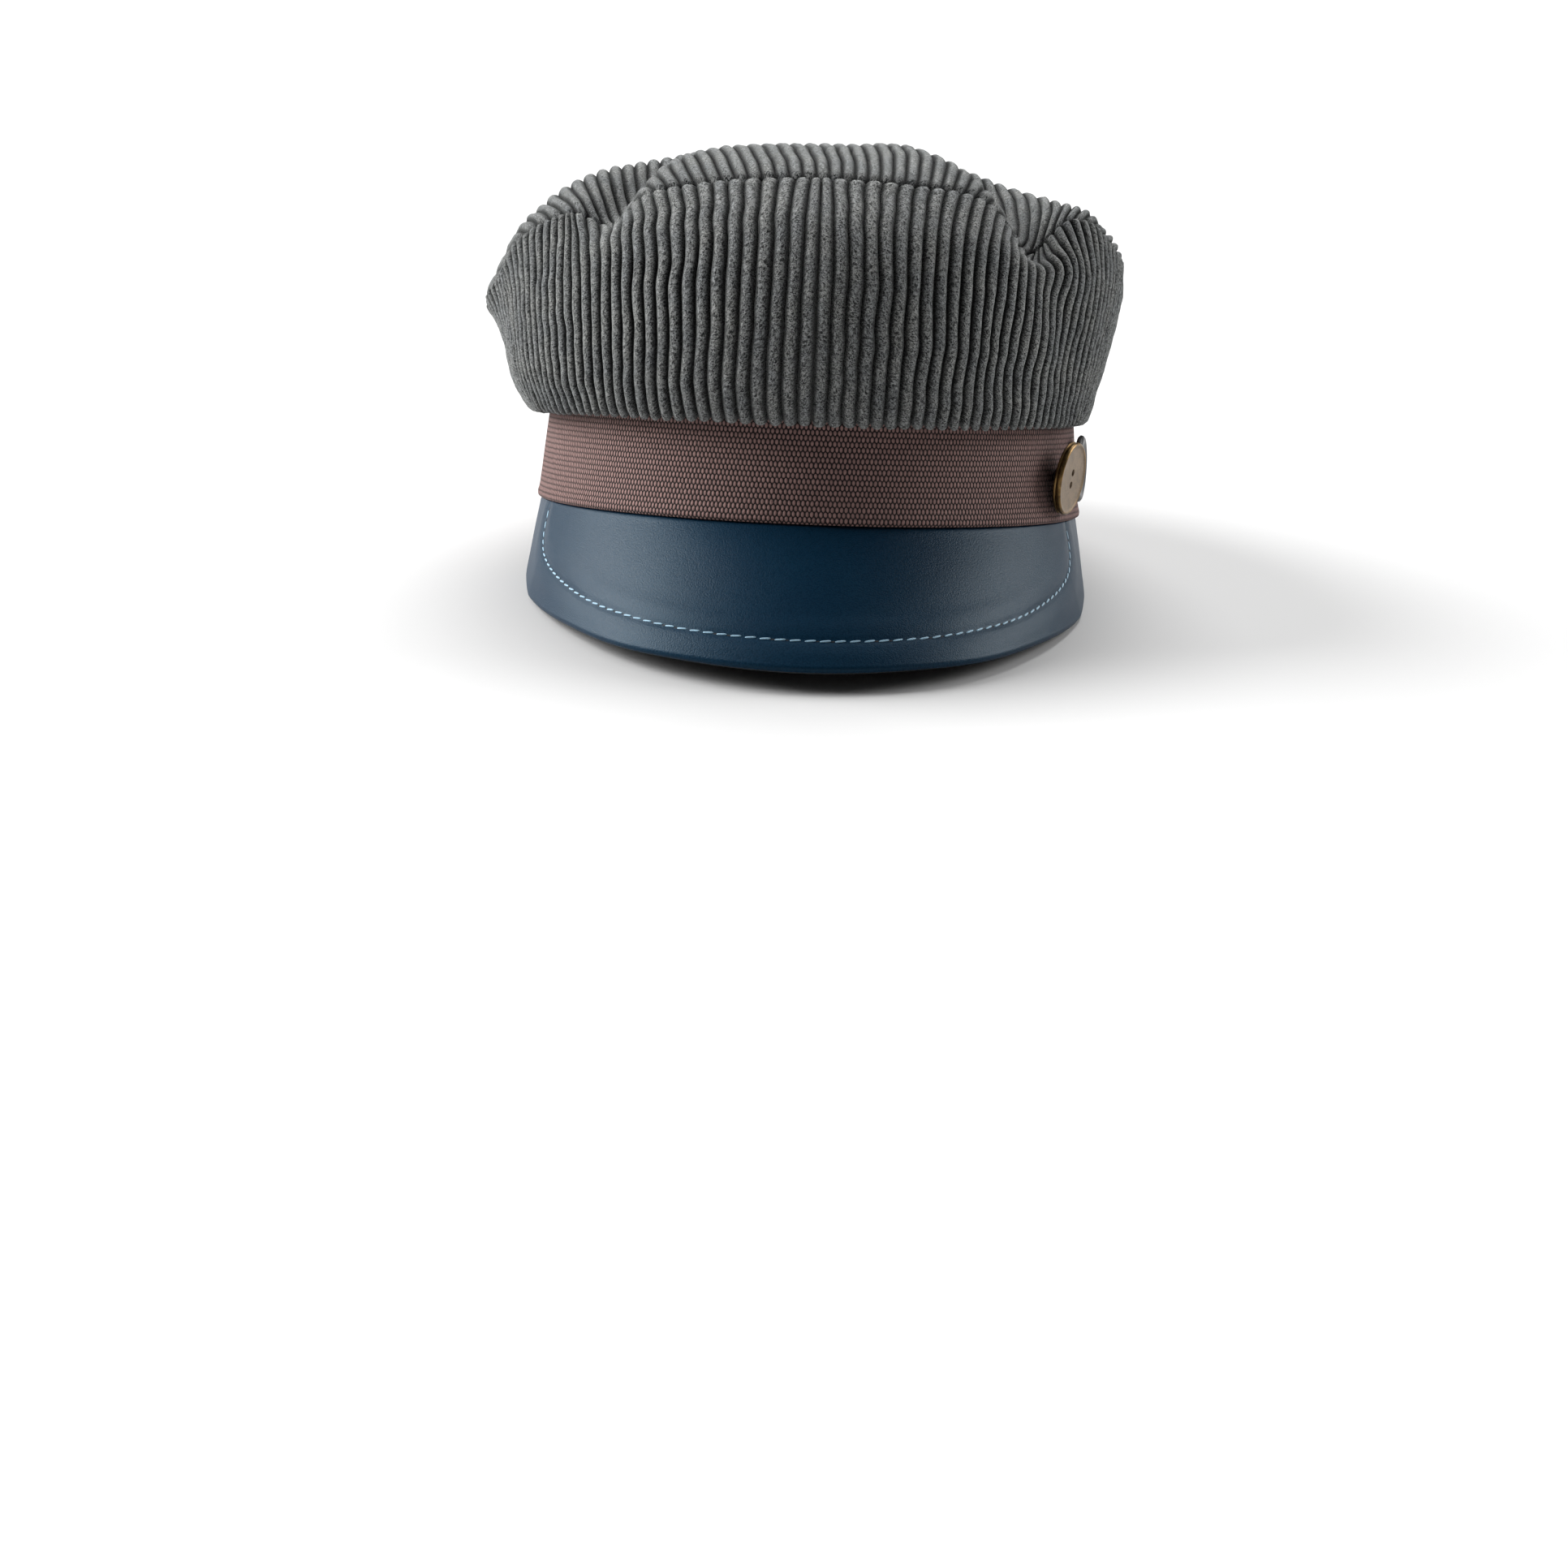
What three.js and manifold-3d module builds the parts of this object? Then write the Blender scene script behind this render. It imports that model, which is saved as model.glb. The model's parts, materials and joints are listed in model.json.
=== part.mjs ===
// A peaked cap: a full crown of corduroy sewn from a top and four side panels, a woven band, a
// stitched leather peak with a dark underlay, and two buttons on the wearer's left.
// Millimetres and +Z up. The peak points to -Y and the wearer's left is +X. The cap stands as it
// does on a table, tipped back on the peak's edge and the back of the band.
import * as THREE from 'three';
import * as BufferGeometryUtils from 'three/addons/utils/BufferGeometryUtils.js';
import Module from 'manifold-3d';

const wasm = await Module();
wasm.setup();

const radians = (degrees) => (degrees * Math.PI) / 180;

// A row of the crown's tables: reach and height on the wearer's left and right, front and back
function level(name, [left, right, front, back], [zFront, zLeft, zRight, zBack]) {
  return { name, left, right, front, back, zFront, zLeft, zRight, zBack };
}

// The opening for the head, and the band round it
const HEAD_HALF_WIDTH = 77.9;
const HEAD_TO_FRONT = 99.9;
const HEAD_TO_BACK = 102.9;
const BAND_WALL = 2.6;
const BAND_HEIGHT = 30;
const BAND_FLARE = 3.2;
const BAND_COLUMNS = 64;
const BAND_ROWS = 2;

// Cloth and the gap between neighbouring pieces
const CORDUROY_WALL = 1.6;
const GAP = 0.3;
const TOP_SEAM_GAP = 0.4;

// The crown's side panels from the band up to the top seam. Each row is one level: how far it
// reaches to the wearer's left and right, to the front and to the back, and its heights there.
const SIDE_LEVELS = [
  level('root', [78.8, 78.8, 100.8, 103.8], [30.3, 30.3, 30.3, 30.3]),
  level('lip', [81.2, 81.2, 103.2, 106.2], [30.4, 30.4, 30.4, 30.4]),
  level('roll', [85.8, 88.3, 109.5, 113], [27.2, 29.4, 25, 26]),
  level('belly', [87.6, 92.8, 115, 121], [39, 38, 35, 37]),
  level('middle', [90.4, 94.8, 117, 125], [58, 52, 45, 50]),
  level('shoulder', [93, 96.6, 109, 126], [79, 64, 51, 61]),
  level('seam', [93.4, 99.5, 94, 121], [94, 74, 56.5, 70]),
];

// The top panel, from the same seam to the middle
const TOP_LEVELS = [
  SIDE_LEVELS.at(-1),
  level('rim', [89, 94.5, 84, 111], [98.5, 80.5, 70, 79.5]),
  level('outer', [74, 78, 66, 90], [103, 87.5, 89.5, 88]),
  level('inner', [40, 42, 36, 50], [106.5, 103.5, 102.5, 99]),
  level('middle', [0, 0, 0, 0], [105.5, 105.5, 105.5, 105.5]),
];
const FRONT_HOLDS_HEIGHT = 1.05;

// Dents and swells, each round a line through the crown and pushed towards a point by its depth.
// A negative depth pushes away from the point.
const FOLDS = [
  { name: 'dent_left', from: [62, -80, 88], to: [44, -28, 104], towards: [60, -40, 0], width: 11, depth: 9.5 },
  { name: 'dent_right', from: [-64, -84, 88], to: [-46, -34, 106], towards: [-47, -40, 10], width: 8.5, depth: 9 },
  { name: 'hump_left', from: [28, -62, 104], to: [26, -36, 107], towards: [20, -40, 0], width: 15, depth: -2 },
  { name: 'shoulder_left', from: [75, -66, 88], to: [80, -50, 86], towards: [70, -50, 0], width: 9, depth: -2.5 },
  { name: 'shoulder_right', from: [-80, -66, 84], to: [-90, -44, 76], towards: [-76, -50, 0], width: 10, depth: -3 },
  { name: 'cheek_left', from: [70, -92, 74], to: [80, -72, 48], towards: [0, 5, 55], width: 9, depth: 3 },
  { name: 'side_tip_right', from: [-101, -12, 57], to: [-101, 20, 57], towards: [0, 5, 57], width: 10, depth: -2.4 },
];

// The side seams, in degrees round from the front seam
const SIDE_SEAM_ANGLE = 70;

// Rows and columns of the crown's faces
const TOP_COLUMNS = 72;
const PANEL_ROWS = 12;
const TOP_ROWS = 8;
const NORMAL_STEP = 0.01;

// The peak: how far it reaches and how steeply it falls, by the angle round the band
const PEAK_REACH = [
  { angle: 0, reach: 50, slope: 45 },
  { angle: 20, reach: 45.5, slope: 48 },
  { angle: 40, reach: 36, slope: 58 },
  { angle: 60, reach: 29, slope: 68.5 },
  { angle: 74, reach: 23.5, slope: 76.5 },
  { angle: 82, reach: 21, slope: 78 },
];
const PEAK_END_ANGLE = 80;
const PEAK_CORNER = 9;
const PEAK_CROWNING = 1.6;
const PEAK_WALL = 2.2;
const PEAK_TUCK = 1;
const PEAK_LEAST_REACH = 1;
const PEAK_COLUMNS = 40;
const PEAK_ROWS = 5;
const UNDERLAY_WALL = 1;
const UNDERLAY_INSET = 1;

// The two buttons on the wearer's left. Droop turns a button's face a little downwards.
const FRONT_BUTTON = { radius: 10.7, thick: 2.6, angle: 60.5, height: 13.8, standOff: 3.4, droop: 7.5 };
const REAR_BUTTON = { radius: 10, thick: 2.2, angle: 74, height: 15.2, standOff: 1.2, droop: 0 };
const BUTTON_HOLE_RADIUS = 1;
const BUTTON_HOLE_SPACING = 3.8;
const BUTTON_RIM = 1.4;
const BUTTON_DISH = 0.5;
const BUTTON_SIDES = 28;
const STEM_RADIUS = 2.2;
const STEM_SIDES = 12;
const STEM_START = 0.5;

// One value of a table's column, along a smooth curve through its rows
function smooth(before, low, high, after, t) {
  const a = 2 * low;
  const b = high - before;
  const c = 2 * before - 5 * low + 4 * high - after;
  const d = 3 * (low - high) + after - before;
  return 0.5 * (a + t * (b + t * (c + t * d)));
}

// The level beyond the middle of the top: the last ring seen from the other side
function mirroredLevel(row) {
  return {
    left: -row.left, right: -row.right, front: -row.front, back: -row.back,
    zFront: row.zBack, zBack: row.zFront, zLeft: row.zRight, zRight: row.zLeft,
  };
}

// The level at a share from 0 to 1 of the way through a table of levels
function levelAt(levels, share, closesAtMiddle) {
  const place = Math.min(Math.max(share, 0), 1) * (levels.length - 1);
  const index = Math.min(Math.floor(place), levels.length - 2);
  const beyond = closesAtMiddle ? mirroredLevel(levels.at(-2)) : levels.at(-1);
  const before = levels[Math.max(index - 1, 0)];
  const four = [before, levels[index], levels[index + 1], levels[index + 2] ?? beyond];
  const between = {};
  for (const column of ['left', 'right', 'front', 'back', 'zFront', 'zLeft', 'zRight', 'zBack']) {
    between[column] = smooth(...four.map((row) => row[column]), place - index);
  }
  return between;
}

// The point of a level at an angle, counted from the front towards the wearer's left
function levelPoint(ring, angle) {
  const aside = Math.sin(angle);
  const ahead = Math.cos(angle);
  const held = Math.abs(ahead) ** FRONT_HOLDS_HEIGHT;
  const zAside = aside > 0 ? ring.zLeft : ring.zRight;
  const zAhead = ahead > 0 ? ring.zFront : ring.zBack;
  return new THREE.Vector3(
    aside * (aside > 0 ? ring.left : ring.right),
    -ahead * (ahead > 0 ? ring.front : ring.back),
    zAside + (zAhead - zAside) * held,
  );
}

// A point of the crown, pushed aside by every fold near it
function folded(point) {
  const moved = point.clone();
  for (const fold of FOLDS) {
    const line = new THREE.Line3(new THREE.Vector3(...fold.from), new THREE.Vector3(...fold.to));
    const nearest = line.closestPointToPoint(point, true, new THREE.Vector3());
    const push = fold.depth * Math.exp(-((nearest.distanceTo(point) / fold.width) ** 2));
    moved.addScaledVector(new THREE.Vector3(...fold.towards).sub(point).normalize(), push);
  }
  return moved;
}

const sidePoint = (angle, share) => folded(levelPoint(levelAt(SIDE_LEVELS, share, false), angle));
const topPoint = (angle, share) => folded(levelPoint(levelAt(TOP_LEVELS, share, true), angle));

// The outward normal of a surface given as a function of angle and share
function normalOf(surface, angle, share) {
  const high = Math.min(share + NORMAL_STEP, 1);
  const low = Math.max(high - 2 * NORMAL_STEP, 0);
  const along = surface(angle + NORMAL_STEP, share).sub(surface(angle - NORMAL_STEP, share));
  const up = surface(angle, high).sub(surface(angle, low));
  return along.cross(up).normalize();
}

// At the top seam both panels end on the face that halves the angle between them. It lies along
// the normal given here, and the panels draw back from it, the side one along down.
function seamAt(angle) {
  const normal = normalOf(sidePoint, angle, 1).add(normalOf(topPoint, angle, 0)).normalize();
  const along = sidePoint(angle + NORMAL_STEP, 1).sub(sidePoint(angle - NORMAL_STEP, 1)).normalize();
  return { normal, down: along.cross(normal).normalize() };
}

// A closed solid between an outer and an inner sheet of points. Each sheet is a list of rows.
// Round sheets close on themselves, and a sheet whose last row is one point closes at a pole. Faces
// that meet at a seam are cut along the same diagonal, so that neighbours lie side by side.
function solidBetween(outer, inner, round) {
  const columns = outer[0].length;
  const positions = [];
  const number = (sheet) => sheet.map((row) => row.map((p) => positions.push(p.x, p.y, p.z) / 3 - 1));
  const [front, rear] = [number(outer), number(inner)];
  const faces = [];
  const quad = (a, b, c, d) => {
    if (a !== b && b !== c && c !== a) faces.push(a, b, c);
    if (a !== c && c !== d && d !== a) faces.push(a, c, d);
  };
  const at = (row, column) => row[row.length === 1 ? 0 : column % row.length];
  const steps = round ? columns : columns - 1;
  for (let j = 0; j + 1 < front.length; j += 1) {
    for (let i = 0; i < steps; i += 1) {
      quad(at(front[j], i), at(front[j], i + 1), at(front[j + 1], i + 1), at(front[j + 1], i));
      quad(at(rear[j], i + 1), at(rear[j], i), at(rear[j + 1], i), at(rear[j + 1], i + 1));
    }
  }
  const [last, lastRear] = [front.at(-1), rear.at(-1)];
  for (let i = 0; i < steps; i += 1) {
    quad(at(rear[0], i), at(rear[0], i + 1), at(front[0], i + 1), at(front[0], i));
    if (last.length > 1) quad(at(last, i + 1), at(lastRear, i + 1), at(lastRear, i), at(last, i));
  }
  for (let j = 0; !round && j + 1 < front.length; j += 1) {
    quad(rear[j][0], front[j][0], front[j + 1][0], rear[j + 1][0]);
    quad(rear[j].at(-1), rear[j + 1].at(-1), front[j + 1].at(-1), front[j].at(-1));
  }
  const geometry = new THREE.BufferGeometry();
  geometry.setAttribute('position', new THREE.Float32BufferAttribute(positions, 3));
  geometry.setIndex(faces);
  return geometry;
}

// A side panel between two angles in degrees, with its columns in line with the top's. It stops
// half a gap short of every seam.
function sidePanel(fromDegrees, toDegrees) {
  const columns = Math.round((TOP_COLUMNS * (toDegrees - fromDegrees)) / 360);
  const outer = [];
  const inner = [];
  for (let j = 0; j <= PANEL_ROWS; j += 1) {
    const share = j / PANEL_ROWS;
    outer.push([]);
    inner.push([]);
    for (let i = 0; i <= columns; i += 1) {
      const angle = radians(fromDegrees + ((toDegrees - fromDegrees) * i) / columns);
      const seam = j === PANEL_ROWS ? seamAt(angle) : null;
      const normal = seam ? seam.normal : normalOf(sidePoint, angle, share);
      const point = sidePoint(angle, share);
      const aside = new THREE.Vector3(-point.y, point.x, 0).normalize();
      if (i === 0) point.addScaledVector(aside, GAP / 2);
      if (i === columns) point.addScaledVector(aside, -GAP / 2);
      if (seam) point.addScaledVector(seam.down, TOP_SEAM_GAP / 2);
      outer[j].push(point);
      inner[j].push(point.clone().addScaledVector(normal, -CORDUROY_WALL));
    }
  }
  return solidBetween(outer, inner, false);
}

// The top panel, all round, closed at its middle
function topPanel() {
  const outer = [];
  const inner = [];
  for (let j = 0; j <= TOP_ROWS; j += 1) {
    const share = j / TOP_ROWS;
    outer.push([]);
    inner.push([]);
    for (let i = 0; i < (j < TOP_ROWS ? TOP_COLUMNS : 1); i += 1) {
      const angle = (2 * Math.PI * i) / TOP_COLUMNS;
      const seam = j === 0 ? seamAt(angle) : null;
      const point = topPoint(angle, share);
      let normal = new THREE.Vector3(0, 0, 1);
      if (j < TOP_ROWS) normal = seam ? seam.normal : normalOf(topPoint, angle, share);
      if (seam) point.addScaledVector(seam.down, -TOP_SEAM_GAP / 2);
      outer[j].push(point);
      inner[j].push(point.clone().addScaledVector(normal, -CORDUROY_WALL));
    }
  }
  return solidBetween(outer, inner, true);
}

// A point of the band's section: outwards from the head's opening, at a height
function bandPoint(angle, outwards, height) {
  const spread = outwards + BAND_FLARE * (1 - height / BAND_HEIGHT);
  const toEnd = Math.cos(angle) > 0 ? HEAD_TO_FRONT : HEAD_TO_BACK;
  return new THREE.Vector3(
    Math.sin(angle) * (HEAD_HALF_WIDTH + spread),
    -Math.cos(angle) * (toEnd + spread),
    height,
  );
}

function band() {
  const sheet = (outwards) => Array.from({ length: BAND_ROWS + 1 }, (_, j) => (
    Array.from({ length: BAND_COLUMNS }, (_, i) => (
      bandPoint((2 * Math.PI * i) / BAND_COLUMNS, outwards, (BAND_HEIGHT * j) / BAND_ROWS)
    ))
  ));
  return solidBetween(sheet(BAND_WALL), sheet(0), true);
}

// The way outwards from the band, level with its lower edge
function outwardsAt(angle) {
  const along = bandPoint(angle + NORMAL_STEP, 0, 0).sub(bandPoint(angle - NORMAL_STEP, 0, 0));
  return new THREE.Vector3(along.y, -along.x, 0).normalize();
}

// One column of the peak's table, at an angle in degrees
function peakValue(column, degrees) {
  const index = Math.max(PEAK_REACH.findLastIndex((row) => row.angle <= degrees), 0);
  const low = Math.min(index, PEAK_REACH.length - 2);
  const row = (n) => PEAK_REACH[Math.min(Math.max(n, 0), PEAK_REACH.length - 1)];
  const before = low === 0 ? row(1) : row(low - 1);
  const t = (degrees - row(low).angle) / (row(low + 1).angle - row(low).angle);
  return smooth(before[column], row(low)[column], row(low + 1)[column], row(low + 2)[column], t);
}

// A point of the peak: an angle round the band, a share of its reach, and how deep below its face
function peakPoint(angle, share, below, inset) {
  const degrees = THREE.MathUtils.radToDeg(Math.abs(angle));
  const slope = radians(peakValue('slope', degrees));
  const intoCorner = Math.max(degrees - (PEAK_END_ANGLE - PEAK_CORNER), 0) / PEAK_CORNER;
  const rounded = Math.sqrt(Math.max(1 - intoCorner ** 2, 0));
  const reach = Math.max(peakValue('reach', degrees) * rounded - inset, PEAK_LEAST_REACH);
  const outwards = outwardsAt(angle);
  const downSlope = outwards.clone().multiplyScalar(Math.cos(slope)).setZ(-Math.sin(slope));
  const face = outwards.clone().multiplyScalar(Math.sin(slope)).setZ(Math.cos(slope));
  const crowning = PEAK_CROWNING * 4 * share * (1 - share) * Math.cos(angle);
  return bandPoint(angle, BAND_WALL - PEAK_TUCK, 0)
    .setZ(-GAP)
    .addScaledVector(downSlope, reach * share)
    .addScaledVector(face, crowning - below);
}

// A leather layer of the peak, with its upper face a given depth below the peak's own
function peakLayer(depth, wall, inset) {
  const sheet = (below) => Array.from({ length: PEAK_ROWS + 1 }, (_, j) => (
    Array.from({ length: PEAK_COLUMNS + 1 }, (_, i) => {
      const angle = radians(PEAK_END_ANGLE) * Math.sin(Math.PI * (i / PEAK_COLUMNS - 0.5));
      return peakPoint(angle, 1 - j / PEAK_ROWS, below, inset);
    })
  ));
  return solidBetween(sheet(depth), sheet(depth + wall), false);
}

// A solid for cutting, from a closed geometry
function manifoldOf(geometry) {
  const bare = geometry.clone();
  bare.deleteAttribute('normal');
  bare.deleteAttribute('uv');
  const merged = BufferGeometryUtils.mergeVertices(bare);
  return new wasm.Manifold(new wasm.Mesh({
    numProp: 3,
    vertProperties: merged.getAttribute('position').array,
    triVerts: new Uint32Array(merged.getIndex().array),
  }));
}

// The geometry of a cut solid
function geometryOf(solid) {
  const mesh = solid.getMesh();
  const geometry = new THREE.BufferGeometry();
  geometry.setAttribute('position', new THREE.BufferAttribute(new Float32Array(mesh.vertProperties), 3));
  geometry.setIndex(new THREE.BufferAttribute(new Uint32Array(mesh.triVerts), 1));
  return geometry;
}

// A round button with a raised rim and two holes, its back at 0 and its face along +Z
function buttonGeometry({ radius, thick }) {
  const dish = thick - BUTTON_DISH;
  const disc = new THREE.LatheGeometry([
    new THREE.Vector2(0, 0),
    new THREE.Vector2(radius - BUTTON_RIM, 0),
    new THREE.Vector2(radius, thick * 0.45),
    new THREE.Vector2(radius - BUTTON_RIM * 0.3, thick * 0.9),
    new THREE.Vector2(radius - BUTTON_RIM * 0.8, thick),
    new THREE.Vector2(radius - BUTTON_RIM * 2, dish),
    new THREE.Vector2(0, dish),
  ], BUTTON_SIDES).rotateX(Math.PI / 2);
  let solid = manifoldOf(disc);
  for (const side of [-1, 1]) {
    const hole = new THREE.CylinderGeometry(BUTTON_HOLE_RADIUS, BUTTON_HOLE_RADIUS, 3 * thick, STEM_SIDES);
    hole.rotateX(Math.PI / 2).translate(0, (side * BUTTON_HOLE_SPACING) / 2, 0);
    solid = solid.subtract(manifoldOf(hole));
  }
  return geometryOf(solid);
}

// A button and the thread stem that holds it off the band
function buttonOnStem(name, button, material) {
  const angle = radians(button.angle);
  const outwards = outwardsAt(angle);
  const facing = outwards.clone().setZ(-Math.tan(radians(button.droop))).normalize();
  const sewn = new THREE.Group();
  sewn.position.copy(bandPoint(angle, BAND_WALL, button.height));
  sewn.up.set(0, 0, 1);
  sewn.lookAt(sewn.position.clone().add(facing));
  const disc = part(name, buttonGeometry(button), material);
  disc.position.z = button.standOff;
  const stemLength = button.standOff - GAP - STEM_START;
  const stemGeometry = new THREE.CylinderGeometry(STEM_RADIUS, STEM_RADIUS, stemLength, STEM_SIDES);
  const stem = part(`${name}_stem`, stemGeometry.rotateX(Math.PI / 2), threadBlack);
  stem.position.z = STEM_START + stemLength / 2;
  sewn.add(disc, stem);
  return sewn;
}

function part(name, geometry, material) {
  const mesh = new THREE.Mesh(geometry, material);
  mesh.name = name;
  return mesh;
}

function finish(color, roughness, metalness) {
  return new THREE.MeshStandardMaterial({ color, roughness, metalness });
}

const corduroy = finish(0x5c5e5d, 0.95, 0);
const webbing = finish(0x55413c, 0.9, 0);
const peakLeather = finish(0x1c3449, 0.45, 0);
const underlayLeather = finish(0x14181d, 0.6, 0);
const antiqueBrass = finish(0x75664f, 0.45, 0.7);
const blackHorn = finish(0x141414, 0.35, 0);
const threadBlack = finish(0x17140f, 0.9, 0);

// The pieces, with the band's lower edge level at height 0
const cap = new THREE.Group();
cap.add(
  part('crown_front_left', sidePanel(0, SIDE_SEAM_ANGLE), corduroy),
  part('crown_back_left', sidePanel(SIDE_SEAM_ANGLE, 180), corduroy),
  part('crown_back_right', sidePanel(180, 360 - SIDE_SEAM_ANGLE), corduroy),
  part('crown_front_right', sidePanel(360 - SIDE_SEAM_ANGLE, 360), corduroy),
  part('crown_top', topPanel(), corduroy),
  part('band', band(), webbing),
  part('peak', peakLayer(0, PEAK_WALL, 0), peakLeather),
  part('peak_underlay', peakLayer(PEAK_WALL + GAP, UNDERLAY_WALL, UNDERLAY_INSET), underlayLeather),
  buttonOnStem('front_button', FRONT_BUTTON, antiqueBrass),
  buttonOnStem('rear_button', REAR_BUTTON, blackHorn),
);

// The lowest point of a piece once the cap is tipped back about the X axis
function lowest(name, tip) {
  const points = cap.getObjectByName(name).geometry.getAttribute('position');
  let low = Infinity;
  for (let i = 0; i < points.count; i += 1) {
    low = Math.min(low, points.getZ(i) * Math.cos(tip) - points.getY(i) * Math.sin(tip));
  }
  return low;
}

// The cap tips back until the peak's edge and the band's back stand at one height
function restingTip() {
  let [gentle, steep] = [0, radians(30)];
  for (let halvings = 0; halvings < 40; halvings += 1) {
    const tip = (gentle + steep) / 2;
    const peakStands = Math.min(lowest('peak', tip), lowest('peak_underlay', tip)) < lowest('band', tip);
    if (peakStands) gentle = tip;
    else steep = tip;
  }
  return gentle;
}

const tip = restingTip();
cap.rotation.x = -tip;
cap.position.z = -lowest('band', tip);

// The origin lies under the middle of the bounding box
const resting = new THREE.Group();
resting.add(cap);
const middle = new THREE.Box3().setFromObject(resting, true).getCenter(new THREE.Vector3());
cap.position.x -= middle.x;
cap.position.y -= middle.y;
export default resting;
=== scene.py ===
import json
import math

import bmesh
import bpy
import numpy as np
from bpy.props import FloatProperty, FloatVectorProperty, IntProperty, PointerProperty
from mathutils import Matrix, Vector, kdtree


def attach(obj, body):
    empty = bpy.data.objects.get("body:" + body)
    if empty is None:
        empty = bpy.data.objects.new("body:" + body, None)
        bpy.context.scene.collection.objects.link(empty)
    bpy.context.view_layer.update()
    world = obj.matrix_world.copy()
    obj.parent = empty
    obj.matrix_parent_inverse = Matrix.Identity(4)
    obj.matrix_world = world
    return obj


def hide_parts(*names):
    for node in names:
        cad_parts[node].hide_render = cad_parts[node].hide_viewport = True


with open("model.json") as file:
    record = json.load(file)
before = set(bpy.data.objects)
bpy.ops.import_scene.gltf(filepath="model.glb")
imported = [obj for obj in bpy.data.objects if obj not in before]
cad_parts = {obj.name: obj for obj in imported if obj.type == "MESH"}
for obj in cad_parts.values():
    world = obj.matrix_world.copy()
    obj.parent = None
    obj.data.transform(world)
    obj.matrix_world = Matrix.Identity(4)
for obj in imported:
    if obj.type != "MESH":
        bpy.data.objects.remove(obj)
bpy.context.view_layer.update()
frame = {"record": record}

bl_info = {
    "name": "Peaked Cap",
    "version": (1, 0, 0),
    "blender": (4, 5, 0),
    "location": "View3D > Sidebar > Cap",
    "description": "A corduroy peaked cap with a woven band, a leather peak and two buttons",
    "category": "Add Mesh",
}

# The cap's own frame has the band's lower edge level at height 0, the peak towards -Y and the
# wearer's left towards +X. Its lengths are in millimetres, where no other unit is named. The row's
# frame tips it back to rest.
MM = 0.001
HEAD_HALF_WIDTH = 77.9
HEAD_TO_FRONT = 99.9
HEAD_TO_BACK = 102.9
BAND_WALL = 2.6
BAND_HEIGHT = 30.0
BAND_FLARE = 3.2
GAP = 0.3

# The crown's levels: reach to the wearer's left and right, to the front and to the back, and the
# height at the front, left, right and back. The sides run from the band up to the top seam.
SEAM_LEVEL = (93.4, 99.5, 94.0, 121.0, 94.0, 74.0, 56.5, 70.0)
SIDE_LEVELS = np.array([
    (78.8, 78.8, 100.8, 103.8, 30.3, 30.3, 30.3, 30.3),   # root
    (81.2, 81.2, 103.2, 106.2, 30.4, 30.4, 30.4, 30.4),   # lip
    (84.4, 86.2, 109.5, 112.6, 27.2, 29.4, 25.8, 26.0),   # roll
    (87.0, 92.4, 115.0, 121.0, 39.0, 38.0, 35.0, 37.0),   # belly
    (90.4, 94.8, 117.0, 125.0, 58.0, 52.0, 45.0, 50.0),   # middle
    (93.0, 96.6, 109.0, 126.0, 79.0, 64.0, 51.0, 61.0),   # shoulder
    SEAM_LEVEL,
])
TOP_LEVELS = np.array([
    SEAM_LEVEL,
    (89.0, 94.5, 84.0, 111.0, 98.5, 80.5, 70.0, 79.5),    # rim
    (74.0, 78.0, 66.0, 90.0, 103.0, 87.5, 89.5, 88.0),    # outer
    (40.0, 42.0, 36.0, 50.0, 106.5, 103.5, 102.5, 99.0),  # inner
    (0.0, 0.0, 0.0, 0.0, 105.5, 105.5, 105.5, 105.5),     # middle
])
FRONT_HOLDS_HEIGHT = 1.05
SIDE_SEAM_ANGLE = math.radians(70)

# Dents and swells of the crown: a line from one point to another, the point that the cloth is
# pushed towards, how wide the push is and how deep
FOLDS = (
    ((62, -80, 88), (44, -28, 104), (60, -40, 0), 10.5, 13.5),
    ((-64, -84, 88), (-46, -34, 106), (-47, -40, 10), 8.5, 10.2),
    ((28, -62, 104), (26, -36, 107), (20, -40, 0), 15, -2),
    ((75, -66, 88), (80, -50, 86), (70, -50, 0), 9, -2.5),
    ((-80, -66, 84), (-90, -44, 76), (-76, -50, 0), 10, -3),
    ((70, -92, 74), (80, -72, 48), (0, 5, 55), 9, 3),
    ((-101, -12, 57), (-101, 20, 57), (0, 5, 57), 10, -2.4),
)

# The peak: its reach and its fall by the angle round the band
PEAK_ANGLES = np.radians((0, 20, 40, 60, 74, 82))
PEAK_REACHES = np.array((50, 45.5, 36, 29, 23.5, 21))
PEAK_SLOPES = np.radians((45, 48, 58, 68.5, 76.5, 78))
PEAK_END_ANGLE = math.radians(80)
PEAK_CORNER = math.radians(9)
PEAK_CROWNING = 1.6
PEAK_WALL = 2.2
PEAK_TUCK = 1.0
PEAK_LEAST_REACH = 1.0
# How much of the gap under the band the peak closes where it is tucked in, and over what length
TUCK_CLOSES = 0.95
TUCK_LENGTH = 2
UNDERLAY_WALL = 1.0
UNDERLAY_INSET = 1.0

STEP = 0.01


def cap_to_row():
    """The cap's frame in the row's, from the mount at the back of the band's lower edge."""
    rim = frame["record"]["mounts"][0]
    axis = Vector(rim["axis"])
    tip = math.atan2(-axis.y, -axis.z)
    to_rim = Vector((0, HEAD_TO_BACK + BAND_FLARE + BAND_WALL / 2, 0)) * MM
    turn = Matrix.Rotation(-tip, 4, "X")
    return Matrix.Translation(rim["pos_m"]) @ turn @ Matrix.Translation(-to_rim)


CAP_TO_ROW = cap_to_row()


def placed(points):
    """Points of the cap's frame, in millimetres, as points of the row's frame, in metres."""
    matrix = np.array(CAP_TO_ROW)
    return points * MM @ matrix[:3, :3].T + matrix[:3, 3]


# Smooth curves and noise

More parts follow.
